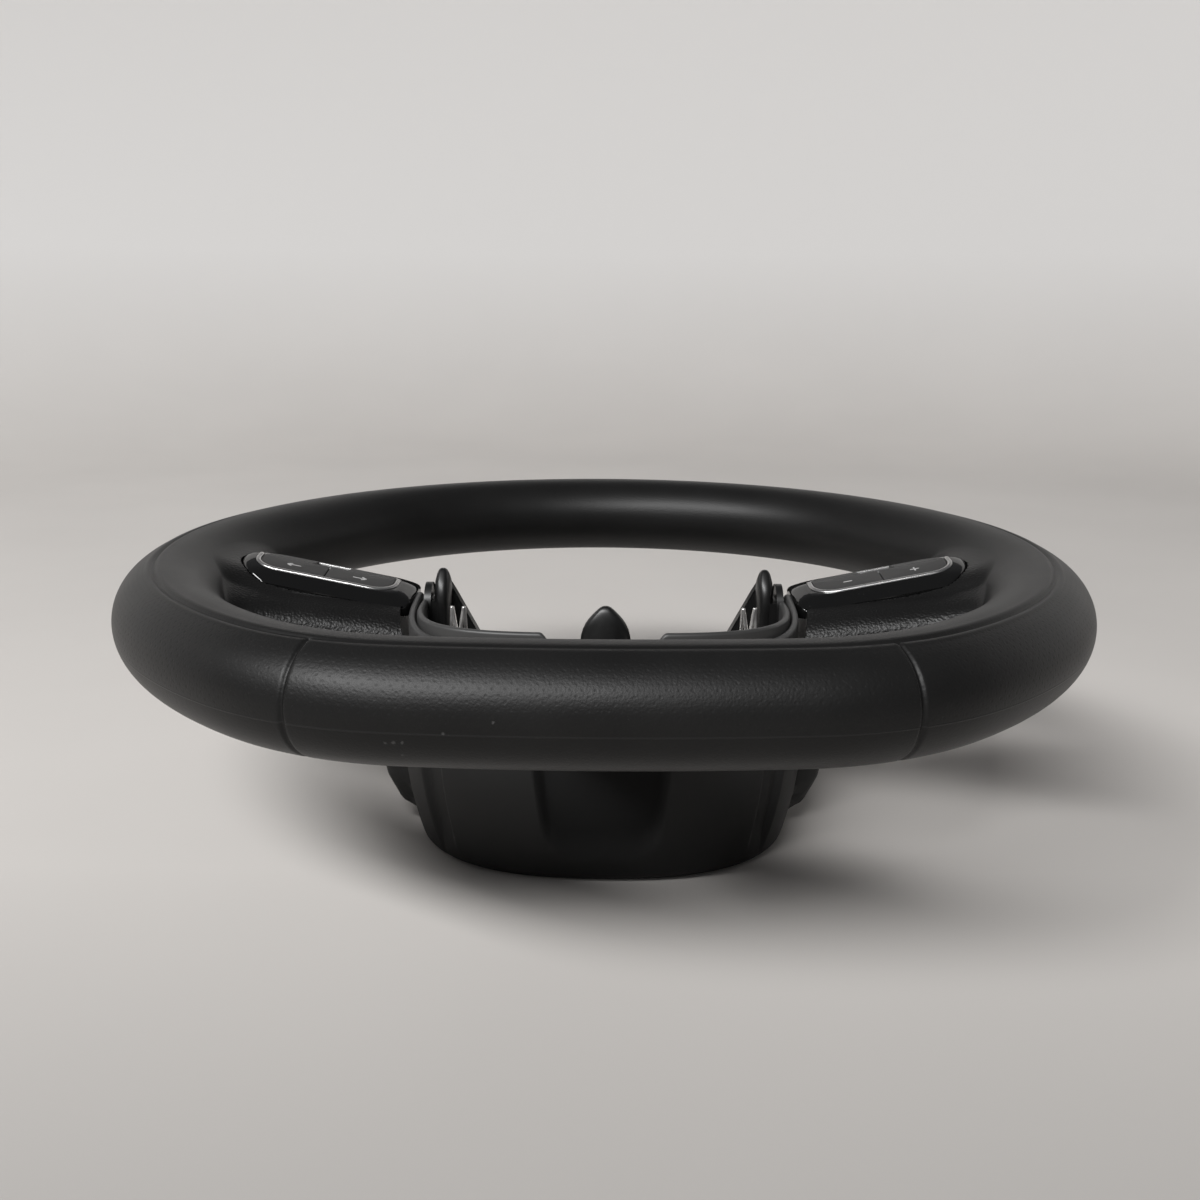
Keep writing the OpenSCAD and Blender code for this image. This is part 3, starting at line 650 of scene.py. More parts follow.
@dataclass
class Workshop:
    """Makes finished pieces: keeps one material of each finish and dresses pieces."""

    made: dict[str, bpy.types.Material] = field(default_factory=dict)

    def material(self, finish: Finish) -> bpy.types.Material:
        """The finish's material, made the first time it is asked for."""
        if finish.name not in self.made:
            self.made[finish.name] = finish.make()
        return self.made[finish.name]

    def fit(self, piece: bpy.types.Object, finish: Finish, slot: str, body: str,
            *nodes: str) -> bpy.types.Object:
        """Dresses a piece and hangs it on its body.

        Args:
            piece: The piece, its place in its mesh.
            finish: Its finish.
            slot: The record's material slot; not used.
            body: The CAD body that it rides on.
            nodes: CAD nodes that it stands for.

        Returns:
            The piece.
        """
        piece.data.materials.clear()
        piece.data.materials.append(self.material(finish))
        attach(piece, body)
        if nodes:
            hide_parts(*nodes)
        log.info("%s: %d faces on %s", piece.name, len(piece.data.polygons), body)
        return piece

    def dress_node(self, node: str, finish: Finish) -> None:
        """Gives a CAD node that keeps its shape a finish."""
        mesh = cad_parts[node].data
        mesh.materials.clear()
        mesh.materials.append(self.material(finish))
        log.info("%s: CAD shape, %s", node, finish.name)


# ---------------------------------------------------------------- rim and spokes


@dataclass(frozen=True)
class HubOutline:
    """The hub's outline in plan, a superellipse."""

    half: float = 75.4
    low: float = 64.5
    degree: float = 3.0

    def at(self, angle: Array, grow: Array | float = 0.0,
           softer: Array | float = 0.0) -> Array:
        """Points of the outline grown by some distance.

        With n the degree less softer, the radius is |cos / A| to the n plus |sin / B|
        to the n, all to the power -1/n.
        """
        c, s = cos_deg(angle), sin_deg(angle)
        across, up, n = self.half + grow, self.low + grow, self.degree - softer
        r = (np.abs(c / across) ** n + np.abs(s / up) ** n) ** (-1 / n)
        return on_circle(angle, r)

    def level(self, x: Array, y: Array, grow: float) -> Array:
        """Less than 0 inside the grown outline, more outside."""
        return (np.abs(x / (self.half + grow)) ** self.degree
                + np.abs(y / (self.low + grow)) ** self.degree - 1)


@dataclass(frozen=True)
class Pod:
    """Where a switch pod lies, and the outlines of its foot and key field.

    Heights are measured from the crest, along the pod's own normal. end_share is the
    depth of the foot's round end as a share of half its width.
    """

    length: float = 66.0
    half: float = 18.0
    end_share: float = 0.8
    tilt: float = 11.4
    middle: float = 104.5
    crest: float = 72.9
    foot: float = -9.0
    band_foot: float = -6.2
    face: tuple[float, float, float] = (5.2, 13.7, -28.2)
    skin_depth: float = 14.0
    field_half: tuple[float, float] = (25.5, 11.5)
    field_round: float = 8.0
    trim: float = 1.7
    near: float = math.tan(math.radians(7.5))
    far: float = math.tan(math.radians(10.0))

    def turn(self) -> Array:
        """Rows are the pod's own axes in the wheel's frame, for the right side."""
        c, s = float(cos_deg(self.tilt)), float(sin_deg(self.tilt))
        return np.array([[c, 0, s], [0, 1, 0], [-s, 0, c]])

    def outwards(self, own: Array, side: Side) -> Array:
        """From the pod's own frame to the wheel's."""
        return place(own @ self.turn() + [self.middle, 0, self.crest], side)

    def inwards(self, points: Array, side: Side) -> Array:
        """From the wheel's frame to the pod's own."""
        return (place(points, side) - [self.middle, 0, self.crest]) @ self.turn().T

    def roof(self, y: Array, lift: float = 0.0) -> Array:
        """Height of the face: two slopes that meet in a softly rounded crest."""
        fall = np.sqrt(y * y + 0.25) - 0.5
        return lift - fall * np.where(y < 0, self.near, self.far)

    def plan(self, hx: float, hy: float, grow: float = 0.0) -> Array:
        """Outline of the foot: a round outer end and a blunt inner one.

        Args:
            hx: Half the length.
            hy: Half the width.
            grow: Distance added all round.

        Returns:
            Points, (124, 2), evenly placed on each stretch whatever the size, so
            that outlines of several sizes join point to point.
        """
        a = np.linspace(-90, 90, 61)
        deep = hy * self.end_share
        end = np.stack([hx - deep + (deep + grow) * cos_deg(a),
                        (hy + grow) * sin_deg(a)], axis=-1)
        knots = np.array([[-hx + 3, hy + grow], [-hx - 0.8 - grow, hy - 3],
                          [-hx - 1.8 - grow, hy - 9]])
        stops = np.concatenate([end[-1:], knots, knots[::-1] * [1, -1], end[:1]])
        counts = [19, 4, 4, 8, 4, 4, 20]
        runs = [a + (b - a) * (np.arange(1, n + 1) / n)[:, None]
                for a, b, n in zip(stops[:-1], stops[1:], counts)]
        points = np.concatenate([end] + runs)[:-1]
        for _ in range(2):
            points = (points * 2 + np.roll(points, 1, 0) + np.roll(points, -1, 0)) / 4
        return points

    def field_at(self, angle: Array, grow: Array | float) -> Array:
        """Where a ray from the middle leaves the key field grown by some distance.

        It is the hit on the plain rectangle, or on the corner's circle where the hit
        lies beyond the straight stretch.
        """
        c, s = np.abs(cos_deg(angle)), np.abs(sin_deg(angle))
        hx, hy = self.field_half[0] + grow, self.field_half[1] + grow
        r = self.field_round + grow
        t = np.minimum(hx / np.maximum(c, 1e-9), hy / np.maximum(s, 1e-9))
        cx, cy = hx - r, hy - r
        corner = (t * c > cx) & (t * s > cy)
        b = cx * c + cy * s
        root = np.sqrt(np.maximum(b * b - cx**2 - cy**2 + r * r, 0))
        return on_circle(angle, np.where(corner, b + root, t))


@dataclass(frozen=True)
class SpokeEnd:
    """A spoke's end at the hub, and how its skin comes there from the ring.

    middle, way and across are its place, the way that the skin arrives and the way of
    its width; half and deep its half sizes; pulls how strongly the skin leaves the
    ring and arrives; rows the number of its rows of points.
    """

    middle: Array
    way: Array
    across: Array
    half: float
    deep: float
    pulls: tuple[float, float]
    rows: int


@dataclass
class RimSkin:
    """The one moulded skin over the rim and its three spokes.

    Angles are degrees: round the section for the crease, rows and grip, from twelve
    o'clock for fades and thumb rests. A fade is where it starts and how long it takes.
    A lip is how far beside the crease it runs and how high it stands. mouth is the
    degree of a spoke's opening, which fills mouth_share of the cells left out of the
    ring, and near_less of them less on a side spoke's lower half.
    """

    width: float = 351.0
    bottom: float = 161.5
    thick: float = 36.5
    deep: float = 35.0
    bow: float = 600.0
    corner: float = 85.0
    height: float = 67.0
    crease_at: float = 77.0
    crease_deep: float = 0.9
    crease_wide: float = 2.4
    crease_fade: tuple[float, float] = (62.0, 18.0)
    calm_fade: tuple[float, float] = (138.0, 22.0)
    calm: float = 0.72
    lips: tuple[tuple[float, float], ...] = ((-6.5, 0.22), (6.5, 0.12))
    lip_wide: float = 2.8
    seam_deep: float = 0.65
    seam_wide: float = 0.42
    swell: float = 2.5
    swell_at: float = 58.0
    swell_wide: float = 14.0
    back_row: float = 125.0
    last_row: float = 275.0
    grip_fade: tuple[float, float] = (64.0, 12.0)
    grip_from: float = -7.0
    grip_to: float = 71.5
    spoke_half: float = 29.5
    spoke_deep: float = 36.0
    spoke_y: float = -2.5
    spoke_drop: float = 3.6
    spoke_x: float = 62.0
    spoke_fall: float = 0.27
    lower_half: float = 21.0
    lower_deep: float = 30.0
    lower_y: float = -55.0
    lower_drop: float = 11.0
    mouth: float = 2.5
    mouth_deep: float = 23.5
    mouth_share: float = 0.96
    near_less: float = 0.3
    gap: float = 0.3
    hub: HubOutline = HubOutline()
    pod: Pod = Pod()

    def __post_init__(self) -> None:
        """Works out the corner circles, which touch the main circle and the bow."""
        self.a, self.c = self.thick / 2, self.deep / 2
        self.main = self.width / 2 - self.a
        self.bow_y = self.bow - (self.bottom - self.a)
        outer, inner = self.main - self.corner, self.bow - self.corner
        self.corner_y = (outer**2 - inner**2 + self.bow_y**2) / (2 * self.bow_y)
        self.corner_x = math.sqrt(outer**2 - self.corner_y**2)
        self.main_end = math.degrees(math.atan2(self.corner_y, self.corner_x))
        self.bow_end = math.degrees(
            math.atan2(self.corner_y - self.bow_y, self.corner_x))
        self.seam_at = (self.main_end + self.bow_end) / 2
        self.low_hole = math.degrees(math.asin(30 / self.bow))
        self.lay_stations()
        self.lay_rows()

    def lay_stations(self) -> None:
        """Stations round the path: centre x, y, radius, angle and side of each."""
        seam = self.seam_at
        runs = [
            (0.0, self.bow_y, self.bow, -90.0, self.low_hole - 90, 16),
            (0.0, self.bow_y, self.bow, self.low_hole - 90, self.bow_end, 12),
            (self.corner_x, self.corner_y, self.corner, self.bow_end, seam - 1.3, 12),
            (self.corner_x, self.corner_y, self.corner, seam - 1.3, seam + 1.3, 16),
            (self.corner_x, self.corner_y, self.corner, seam + 1.3, self.main_end, 12),
            (0.0, 0.0, self.main, self.main_end, -25.0, 36),
            (0.0, 0.0, self.main, -25.0, 17.0, 64),
            (0.0, 0.0, self.main, 17.0, 90.0, 96),
        ]
        half = np.concatenate([
            np.stack([np.full(n, x), np.full(n, y), np.full(n, r), spread(a, b, n),
                      np.ones(n)], axis=-1) for x, y, r, a, b, n in runs])
        first = np.array([[0.0, self.bow_y, self.bow, -90.0, 1.0]])
        back = half[-2::-1].copy()
        back[:, 4] = -1
        self.stations = np.concatenate([first, half, back])
        counts = [run[5] for run in runs]
        n = len(self.stations)
        start, end, low = sum(counts[:6]), sum(counts[:7]), counts[0]
        self.openings = {"right": (start, end), "left": (n - end, n - start),
                         "low": (n - low, n + low)}

    def lay_rows(self) -> None:
        """Angles round the section: 0 points out, 90 to the driver, 180 to the axis."""
        self.rows = np.concatenate([
            [-85.0], spread(-85, -14, 14), spread(-14, 66, 24), spread(66, 88, 22),
            spread(88, self.back_row, 12),
            spread(self.back_row, self.last_row, 40)[:-1]])
        self.first_row = int(np.argmin(np.abs(self.rows - self.back_row)))

    def centre(self, s: Array) -> Array:
        """Middle of the section at each station, (n, 2)."""
        return np.stack([s[:, 4] * (s[:, 0] + s[:, 2] * cos_deg(s[:, 3])),
                         s[:, 1] + s[:, 2] * sin_deg(s[:, 3])], axis=-1)

    def from_top(self, s: Array) -> Array:
        """Degrees from twelve o'clock at each station."""
        p = self.centre(s)
        from_three = np.degrees(np.arctan2(p[:, 1], p[:, 0]))
        return np.abs((from_three - 90 + 180) % 360 - 180)

    def skin(self, s: Array, phi: Array) -> Array:
        """The rim's surface.

        A point is the section's middle, plus its radius times cos phi outwards and sin
        phi to the driver. The crease and the seams are bell-shaped cuts off that
        radius, and the thumb rests a bell-shaped swelling towards the axis.

        Args:
            s: Stations, (n, 5).
            phi: Angles round the section, (m,).

        Returns:
            Points, (n, m, 3).
        """
        p, top = self.centre(s), self.from_top(s)[:, None]
        t = np.where(s[:, 4] > 0, s[:, 3], 180 - s[:, 3])[:, None]
        beside = phi - self.crease_at
        crease = self.crease_deep * bell(beside, self.crease_wide) - sum(
            high * bell(beside - at, self.lip_wide) for at, high in self.lips)
        starts = smooth((top - self.crease_fade[0]) / self.crease_fade[1])
        calms = smooth((top - self.calm_fade[0]) / self.calm_fade[1])
        crease = crease * starts * (1 - self.calm * calms)
        reach = smooth((1 - beside) / 3) * smooth((phi + 88) / 14)
        seam = bell(s[:, 3] - self.seam_at, self.seam_wide) * (s[:, 0] > 0)
        cut = crease + self.seam_deep * seam[:, None] * reach
        swell = (self.swell * bell(top - self.swell_at, self.swell_wide)
                 * np.maximum(0, -cos_deg(phi)))
        r = (self.a - cut) * cos_deg(phi) - swell
        return np.stack([p[:, :1] + r * cos_deg(t), p[:, 1:] + r * sin_deg(t),
                         self.height + (self.c - cut) * sin_deg(phi)], axis=-1)

    def spoke_end(self, name: str) -> SpokeEnd:
        """The end of a spoke, which is named right, left or low."""
        if name == "low":
            z = self.height - self.lower_drop - self.lower_deep / 2
            return SpokeEnd(np.array([0, self.lower_y, z]), np.array([0, 1, -0.1]),
                            np.array([1.0, 0, 0]), self.lower_half,
                            self.lower_deep / 2, (24.0, 30.0), 22)
        sign, fall = (1.0 if name == "right" else -1.0), self.spoke_fall
        z = (self.height - self.spoke_drop - fall * (self.hub.half - self.spoke_x)
             - self.spoke_deep / 2)
        return SpokeEnd(np.array([sign * self.spoke_x, self.spoke_y, z]),
                        np.array([-sign, 0, -fall]), np.array([0, sign, 0]),
                        self.spoke_half, self.spoke_deep / 2, (44.0, 70.0), 54)

    def mouth_at(self, name: str, xi: Array, eta: Array) -> tuple[Array, Array, Array]:
        """Places on the ring's skin within a spoke's opening, and the skin's two ways.

        Args:
            name: Which opening.
            xi: -1 at the opening's first station, 1 at its last, (n,).
            eta: 1 at its top row, -1 at its bottom row, (n,).

        Returns:
            Points, the unit ways along the ring and up its section, (n, 3) each.
        """
        start, end = self.openings[name]
        first, last = self.stations[np.array([start, end]) % len(self.stations)]
        ends = (-180 - first[3], last[3]) if name == "low" else (first[3], last[3])
        row = (self.rows[self.first_row], self.last_row)

        def at(xi: Array, eta: Array) -> Array:
            """The skin's points, straight from its formula."""
            s = np.repeat(last[None], len(xi), axis=0)
            s[:, 3] = (ends[0] + ends[1]) / 2 + xi * (ends[1] - ends[0]) / 2
            phi = (row[0] + row[1]) / 2 - eta * (row[1] - row[0]) / 2
            return self.skin(s, phi[:, None])[:, 0]

        return (at(xi, eta), unit(at(xi + 0.01, eta) - at(xi - 0.01, eta)),
                unit(at(xi, eta + 0.01) - at(xi, eta - 0.01)))

    def build(self) -> bpy.types.Object:
        """Puts the ring and the three spokes together as one closed skin."""
        surface = Surface()
        s, phi = self.stations, self.rows
        net = self.skin(s, phi)
        n, m = len(s), len(phi)
        low = smooth((self.from_top(s) - self.grip_fade[0]) / self.grip_fade[1])
        grip = smooth((phi - self.grip_from) / 3) * smooth((self.grip_to - phi) / 2)
        numbers = surface.add(net, low[:, None] * grip)
        centre = self.centre(s)
        step = np.linalg.norm(np.roll(centre, -1, 0) - centre, axis=1)
        length = np.concatenate([[0], np.cumsum(step)])
        around = np.radians(np.append(phi, self.last_row)) * (self.a + self.c) / 2
        flat = np.stack(np.broadcast_arrays(length[:, None], around[None]), axis=-1)
        keep = np.ones((n, m), bool)
        for start, end in self.openings.values():
            keep[np.arange(start, end)[:, None] % n, self.first_row:] = False
        surface.mesh_between(looped(looped(numbers, 0)), flat, keep)
        for name in self.openings:
            self.spoke(surface, net, numbers, name)
        return surface.build("rim_skin", sharp=55)

    def spoke(self, surface: Surface, net: Array, numbers: Array, name: str) -> None:
        """Adds a spoke from its opening in the ring to the hub's outline.

        A strip of the ring's own skin rounds the opening off to a superellipse. From
        there each column is a cubic that leaves the ring along its skin and arrives
        square to the spoke's end, cut at the outline. That end is a superellipse of
        the fourth degree, or of the third on a side spoke's lower half.

        Args:
            surface: What the spoke is added to.
            net: The ring's points, (n, m, 3); not used.
            numbers: Their point numbers, (n, m).
            name: Which opening.
        """
        n, m = numbers.shape
        start, end = self.openings[name]
        top, bottom = self.first_row, m
        i = np.concatenate([np.arange(start, end), np.full(bottom - top, end),
                            np.arange(end, start, -1), np.full(bottom - top, start)])
        j = np.concatenate([np.full(end - start, top), np.arange(top, bottom),
                            np.full(end - start, bottom), np.arange(bottom, top, -1)])
        xi = (2 * i - start - end) / (end - start)
        eta = (top + bottom - 2 * j) / (bottom - top)
        to = self.spoke_end(name)
        q = self.mouth
        near = smooth(-to.across[1] * xi * 2)
        less = self.near_less * near
        k = (self.mouth_share - less) / (np.abs(xi) ** q + np.abs(eta) ** q) ** (1 / q)
        rounded = [self.mouth_at(name, xi * (1 + (k - 1) * share),
                                 eta * (1 + (k - 1) * share))
                   for share in (0.25, 0.5, 0.75, 1.0)]
        p0, along, up = rounded[-1]
        pull = np.stack([np.sign(v) * np.abs(v * k) ** (q - 1) for v in (xi, eta)])
        lead = unit(-along * (pull[0] / (to.half * 1.6))[:, None]
                    - up * (pull[1] / self.mouth_deep)[:, None])
        lead *= (to.pulls[0] * (1 - less))[:, None]
        power = np.where(to.across[1] * xi < 0, 3.0, 4.0)
        k = (np.abs(xi) ** power + np.abs(eta) ** power) ** (1 / power)
        p1 = (to.middle + to.across * to.half * (xi / k)[:, None]
              + np.array([0, 0, 1.0]) * to.deep * (eta / k)[:, None])
        arrive = unit(to.way) * to.pulls[1]

        def column(t: Array) -> Array:
            """The columns' points at shares t of their length, (rows, columns, 3)."""
            t = t[..., None]
            t2, t3 = t * t, t * t * t
            return (p0 * (2 * t3 - 3 * t2 + 1) + lead * (t3 - 2 * t2 + t)
                    + p1 * (3 * t2 - 2 * t3) + arrive * (t3 - t2))

        trial = np.linspace(0, 1, 301)
        tried = column(np.broadcast_to(trial[:, None], (301, len(i))))
        level = self.hub.level(tried[..., 0], tried[..., 1], self.gap)
        hit = np.argmax(level <= 0, axis=0)
        before = np.take_along_axis(level, hit[None] - 1, 0)[0]
        after = np.take_along_axis(level, hit[None], 0)[0]
        stop = trial[hit - 1] + (trial[1] - trial[0]) * before / (before - after)
        share = spread(0, 1, to.rows)
        points = column(share[:, None] * stop[None])
        if name != "low":
            points = self.sink_pod(points, Side.RIGHT if name == "right" else Side.LEFT)
        mark = -smooth((share - 0.04) / 0.16)[:, None] * np.ones(len(i))
        mark = mark * smooth((points[..., 2] - 34) / 6)
        strip = surface.add(np.array([part[0] for part in rounded]))
        grid = surface.add(points, mark)
        grid = np.concatenate([numbers[i % n, j % m][None], strip, grid], axis=0)
        surface.mesh_between(looped(grid))
        self.cap(surface, grid[-1], points[-1], to.middle)

    def cap(self, surface: Surface, ring: Array, rim: Array, middle: Array) -> None:
        """Closes a spoke at the hub's outline, along the outline's own upright wall."""
        angle = np.degrees(np.arctan2(rim[:, 1], rim[:, 0]))
        aim = math.degrees(math.atan2(middle[1], middle[0]))
        angle = aim + (angle - aim + 180) % 360 - 180
        keep = np.array([0.97, 0.8, 0.45, 0.0])[:, None]
        flat = self.hub.at(aim + (angle - aim) * keep, self.gap)
        rows = at_height(flat, middle[2] + (rim[:, 2] - middle[2]) * keep)
        surface.mesh_between(looped(np.concatenate([ring[None], surface.add(rows)])))

    def sink_pod(self, points: Array, side: Side) -> Array:
        """Cuts the pod's pocket into a spoke's face.

        Points next to the pocket's outline slide along the skin onto it, so that its
        edge is clean, and those inside drop to the pocket's floor.

        Args:
            points: The spoke's points, (rows, columns, 3).
            side: Which pod.

        Returns:
            The points with the pocket in them.
        """
        pod = self.pod
        own = pod.inwards(points, side)
        outline = pod.plan(pod.length / 2, pod.half, self.gap)
        flat = own[..., :2].reshape(-1, 2)

        def gap_at(places: Array) -> Array:
            """Distance outside the pocket's outline, in the grid's shape."""
            return outline_distance(places, outline).reshape(own.shape[:2])

        away = gap_at(flat)
        slope = np.stack([gap_at(flat + [0.01, 0]) - away,
                          gap_at(flat + [0, 0.01]) - away], axis=-1) / 0.01
        on_face = own[..., 2] > -pod.skin_depth
        snap = np.zeros(away.shape, bool)
        for axis in (0, 1):
            for shift in (1, -1):
                other = np.roll(away, shift, axis)
                snap |= (away * other < 0) & (np.abs(away) <= np.abs(other))
        snap &= on_face & (np.abs(away) < 2.0)
        normal = unit(np.cross(np.gradient(own, axis=0), np.gradient(own, axis=1)))
        normal *= np.sign(normal[..., 2:])
        slide = -slope * away[..., None]
        lift = -(slide * normal[..., :2]).sum(-1) / np.maximum(normal[..., 2], 0.3)
        moved = own + np.concatenate([slide, lift[..., None]], axis=-1)
        own = np.where(snap[..., None], moved, own)
        inside = (away < 0) & ~snap & on_face
        own[..., 2] = np.where(inside, np.minimum(own[..., 2], pod.foot), own[..., 2])
        return pod.outwards(own, side)


# ---------------------------------------------------------------- hub


@dataclass
class HubBezel:
    """The U of dark satin plastic round the airbag well, two ridges and a groove.

    outer and inner are each ridge's height beside the axis and its rise per
    millimetre of y. end_top is what both fall to at the U's ends. Across the notch at
    six o'clock, notch to each side, they dip from dip_y on.
    """

    hub: HubOutline = HubOutline(71.8, 64.3, 3.5)
    wall: float = 5.4
    foot: float = 30.0
    outer: tuple[float, float] = (63.4, 0.075)
    inner: tuple[float, float] = (61.6, -0.039)
    end_y: float = 24.0
    ridge: float = 1.25
    groove: float = 3.6
    end_top: float = 34.0
    notch: float = 17.0
    dip: float = 8.0
    dip_y: float = -40.0

    def top(self, x: Array, y: Array, line: tuple[float, float]) -> Array:
        """Height of a ridge: a plane that tilts along the wheel, and falls to the ends.

        Args:
            x, y: Places on the ridge.
            line: The ridge's height beside the axis and its rise per millimetre of y.
        """
        flat = line[0] + line[1] * y
        fall = line[0] + 1.4 - y / 26 * (line[0] - self.end_top)
        height = -soft_max(-flat, -fall, 3.0)
        dip = (smooth((self.notch + 4.5 - np.abs(x)) / 7)
               * smooth((self.dip_y - y) / 8))
        return height - dip * self.dip

    def build(self) -> bpy.types.Object:
        """Carries the section round the hub from one end of the U to the other.

        Each ridge is half a circle of its own height, with the groove's floor below
        the lower of the two, so that the taller one shows a plain flank.
        """
        a, r, wall = np.linspace(180, 0, 9), self.ridge, self.wall
        arc, rise = r * cos_deg(a), r * sin_deg(a) - r
        floor = [2 * r + 0.2, wall - 2 * r - 0.2]
        inset = np.concatenate([[0.0, 0.0], r + arc, floor, wall - r + arc,
                                [wall, wall]])
        degree = self.hub.degree
        left = 1 - (self.end_y / (self.hub.low - inset)) ** degree
        x_end = (self.hub.half - inset) * left ** (1 / degree)
        end = np.degrees(np.arctan2(self.end_y, x_end))
        share = np.concatenate([np.linspace(0, 0.36, 90), spread(0.36, 0.64, 120),
                                spread(0.64, 1, 89)])[:, None]
        angle = end - share * (180 + 2 * end)
        flat = self.hub.at(angle, -inset)
        outer = self.top(flat[..., 0], flat[..., 1], self.outer)
        inner = self.top(flat[..., 0], flat[..., 1], self.inner)
        low = np.minimum(outer, inner) - self.groove
        z = np.concatenate([outer[:, :2] - 2.4, outer[:, 2:11] + rise, low[:, 11:13],
                            inner[:, 13:22] + rise, inner[:, 22:] - 2.4], axis=1)
        z[:, [0, -1]] = self.foot
        return solid("bezel", at_height(flat, z), sharp=50)


@dataclass
class RearCover:
    """The matt black bowl behind the hub, with its recess, flutes and fairings.

    back_softer is how much less the outline's degree is at the back. recess_half is
    the recess's half width in degrees at the back, and how much it gains to the
    front. fair_z, fair_out and fair_half are heights of a fairing, and its reach from
    the axis and half width there.
    """

    hub: HubOutline = HubOutline()
    back: float = -28.0
    top: float = 30.0
    lean: float = 5.5
    wall: float = 2.8
    back_softer: float = 0.5
    recess: float = 5.0
    recess_half: tuple[float, float] = (17.2, 4.6)
    flute: float = 2.1
    flute_at: float = 51.0
    flute_half: float = 4.4
    fair_z: tuple[float, ...] = (-28.0, -22.0, -16.5, -5.5, 18.0, 30.0)
    fair_out: tuple[float, ...] = (58.0, 73.0, 79.0, 83.5, 88.0, 89.4)
    fair_half: tuple[float, ...] = (9.0, 13.5, 18.0, 22.0, 24.0, 24.0)
    opening: float = 40.0
    edge: float = 3.4
    sunk: float = 5.0
    bulge: float = 2.8

    def press(self, a: Array, t: Array) -> tuple[Array, Array]:
        """How far the wall is pressed in: the recess at six o'clock and four flutes.

        Args:
            a: Degrees from six o'clock.
            t: Share of the height from the back to the open front.

        Returns:
            Depths in millimetres, and how far a place lies in the recess, 0 to 1.
        """
        half, a = self.recess_half[0] + self.recess_half[1] * t, np.abs(a)
        corner = smooth((t - 0.12 - 0.1 * smooth((a - half + 7) / 7)) / 0.24)
        share = smooth((half - a) / 2.4) * corner
        recess = self.recess * share * (0.25 + 0.75 * t)
        beside = a - self.flute_at
        flute = (self.flute * smooth((self.flute_half - np.abs(beside)) / 1.8)
                 * smooth((t - 0.04 + 0.012 * beside) / 0.3))
        return recess + flute, share

    def fairing(self, angle: Array, z: Array) -> Array:
        """Radius of the fairing under each side spoke, a squarish superellipse."""
        out = np.interp(z, self.fair_z, self.fair_out)
        half = np.interp(z, self.fair_z, self.fair_half)
        c, s = np.abs(cos_deg(angle)), np.abs(sin_deg(angle))
        return ((c / out) ** 7 + (s / half) ** 7) ** (-1 / 7)

    def ring(self, angle: Array, z: Array, inset: Array) -> Array:
        """Points of the wall at some height, moved in by inset.

        The radius is the hub's outline less the lean and what is pressed in, or the
        fairing's where that stands further out, with the corner between rounded.
        """
        t = (z - self.back) / (self.top - self.back)
        six = (angle + 90 + 180) % 360 - 180
        grow = self.bulge * 4 * t * (1 - t) - self.lean * (1 - t)
        flat = self.hub.at(angle, grow - self.press(six, t)[0] - inset,
                           self.back_softer * (1 - t))
        r = np.linalg.norm(flat, axis=-1)
        out = soft_max(r, self.fairing(angle, z) - inset, 1.4)
        sunk = self.sunk * smooth(sin_deg(angle) * 2.5) * smooth((z - 5) / 20)
        return at_height(flat * (out / r)[..., None], z - sunk)

    def build(self) -> bpy.types.Object:
        """Outer wall, base, column opening and inner wall as one closed skin."""
        fine = np.concatenate([np.linspace(-27, -13, 36), np.linspace(13, 27, 36),
                               np.linspace(44, 58, 36), np.linspace(-58, -44, 36)]) - 90
        angle = np.unique(np.round(np.concatenate([np.arange(0, 360, 2.0),
                                                   fine % 360]), 4))[None]
        edge = self.edge
        corner = self.back + edge * (1 - cos_deg(np.linspace(0, 90, 9)[:-1]))
        wall = self.back + edge + (self.top - self.back - edge) \
            * smooth(np.linspace(0, 1, 60))
        z_out = np.concatenate([corner, wall])[:, None]
        lift = np.clip((z_out - self.back) / edge, 0, 1)
        in_out = edge * (1 - np.sqrt(1 - (1 - lift) ** 2))
        outer = self.ring(angle, z_out, in_out)
        z_in = np.linspace(self.top, self.back + self.wall, 30)[:, None]
        inner = self.ring(angle, z_in, np.full_like(z_in, self.wall))

        def floor(z: float, chamfer: float) -> Array:
            """The column opening's edge at a height, opened by the chamfer."""
            return at_height(on_circle(angle, self.opening + chamfer), z)

        rows = np.concatenate([outer, inner, floor(self.back + self.wall, 0.3),
                               floor(self.back + self.wall - 0.3, 0.0),
                               floor(self.back + 0.4, 0.0), floor(self.back, 0.4)])
        share = (z_out - self.back) / (self.top - self.back)
        # The mark, how far each place lies in the recess, carries painted shade: the
        # cover's finish turns it near black.
        mark = np.zeros(rows.shape[:2])
        mark[:len(z_out)] = self.press((angle + 270) % 360 - 180, share)[1]
        return solid("rear_bowl", rows, sharp=48, closed=True, mark=mark)


def ring_loft(outline: Array, heights: Array, insets: Array) -> Array:
    """Rings for a plate with rounded edges.

    Args:
        outline: Closed convex outline, anticlockwise, (n, 2).
        heights: Height of each ring, (k,).
        insets: How far each ring lies inside the outline, (k,).

    Returns:
        Rings, (k, n, 3): the outline moved along its inward normals, at each height.
    """
    way = np.roll(outline, -1, 0) - np.roll(outline, 1, 0)
    normal = unit(np.stack([-way[:, 1], way[:, 0]], axis=-1))
    return at_height(outline[None] + normal[None] * insets[:, None, None],
                     heights[:, None])


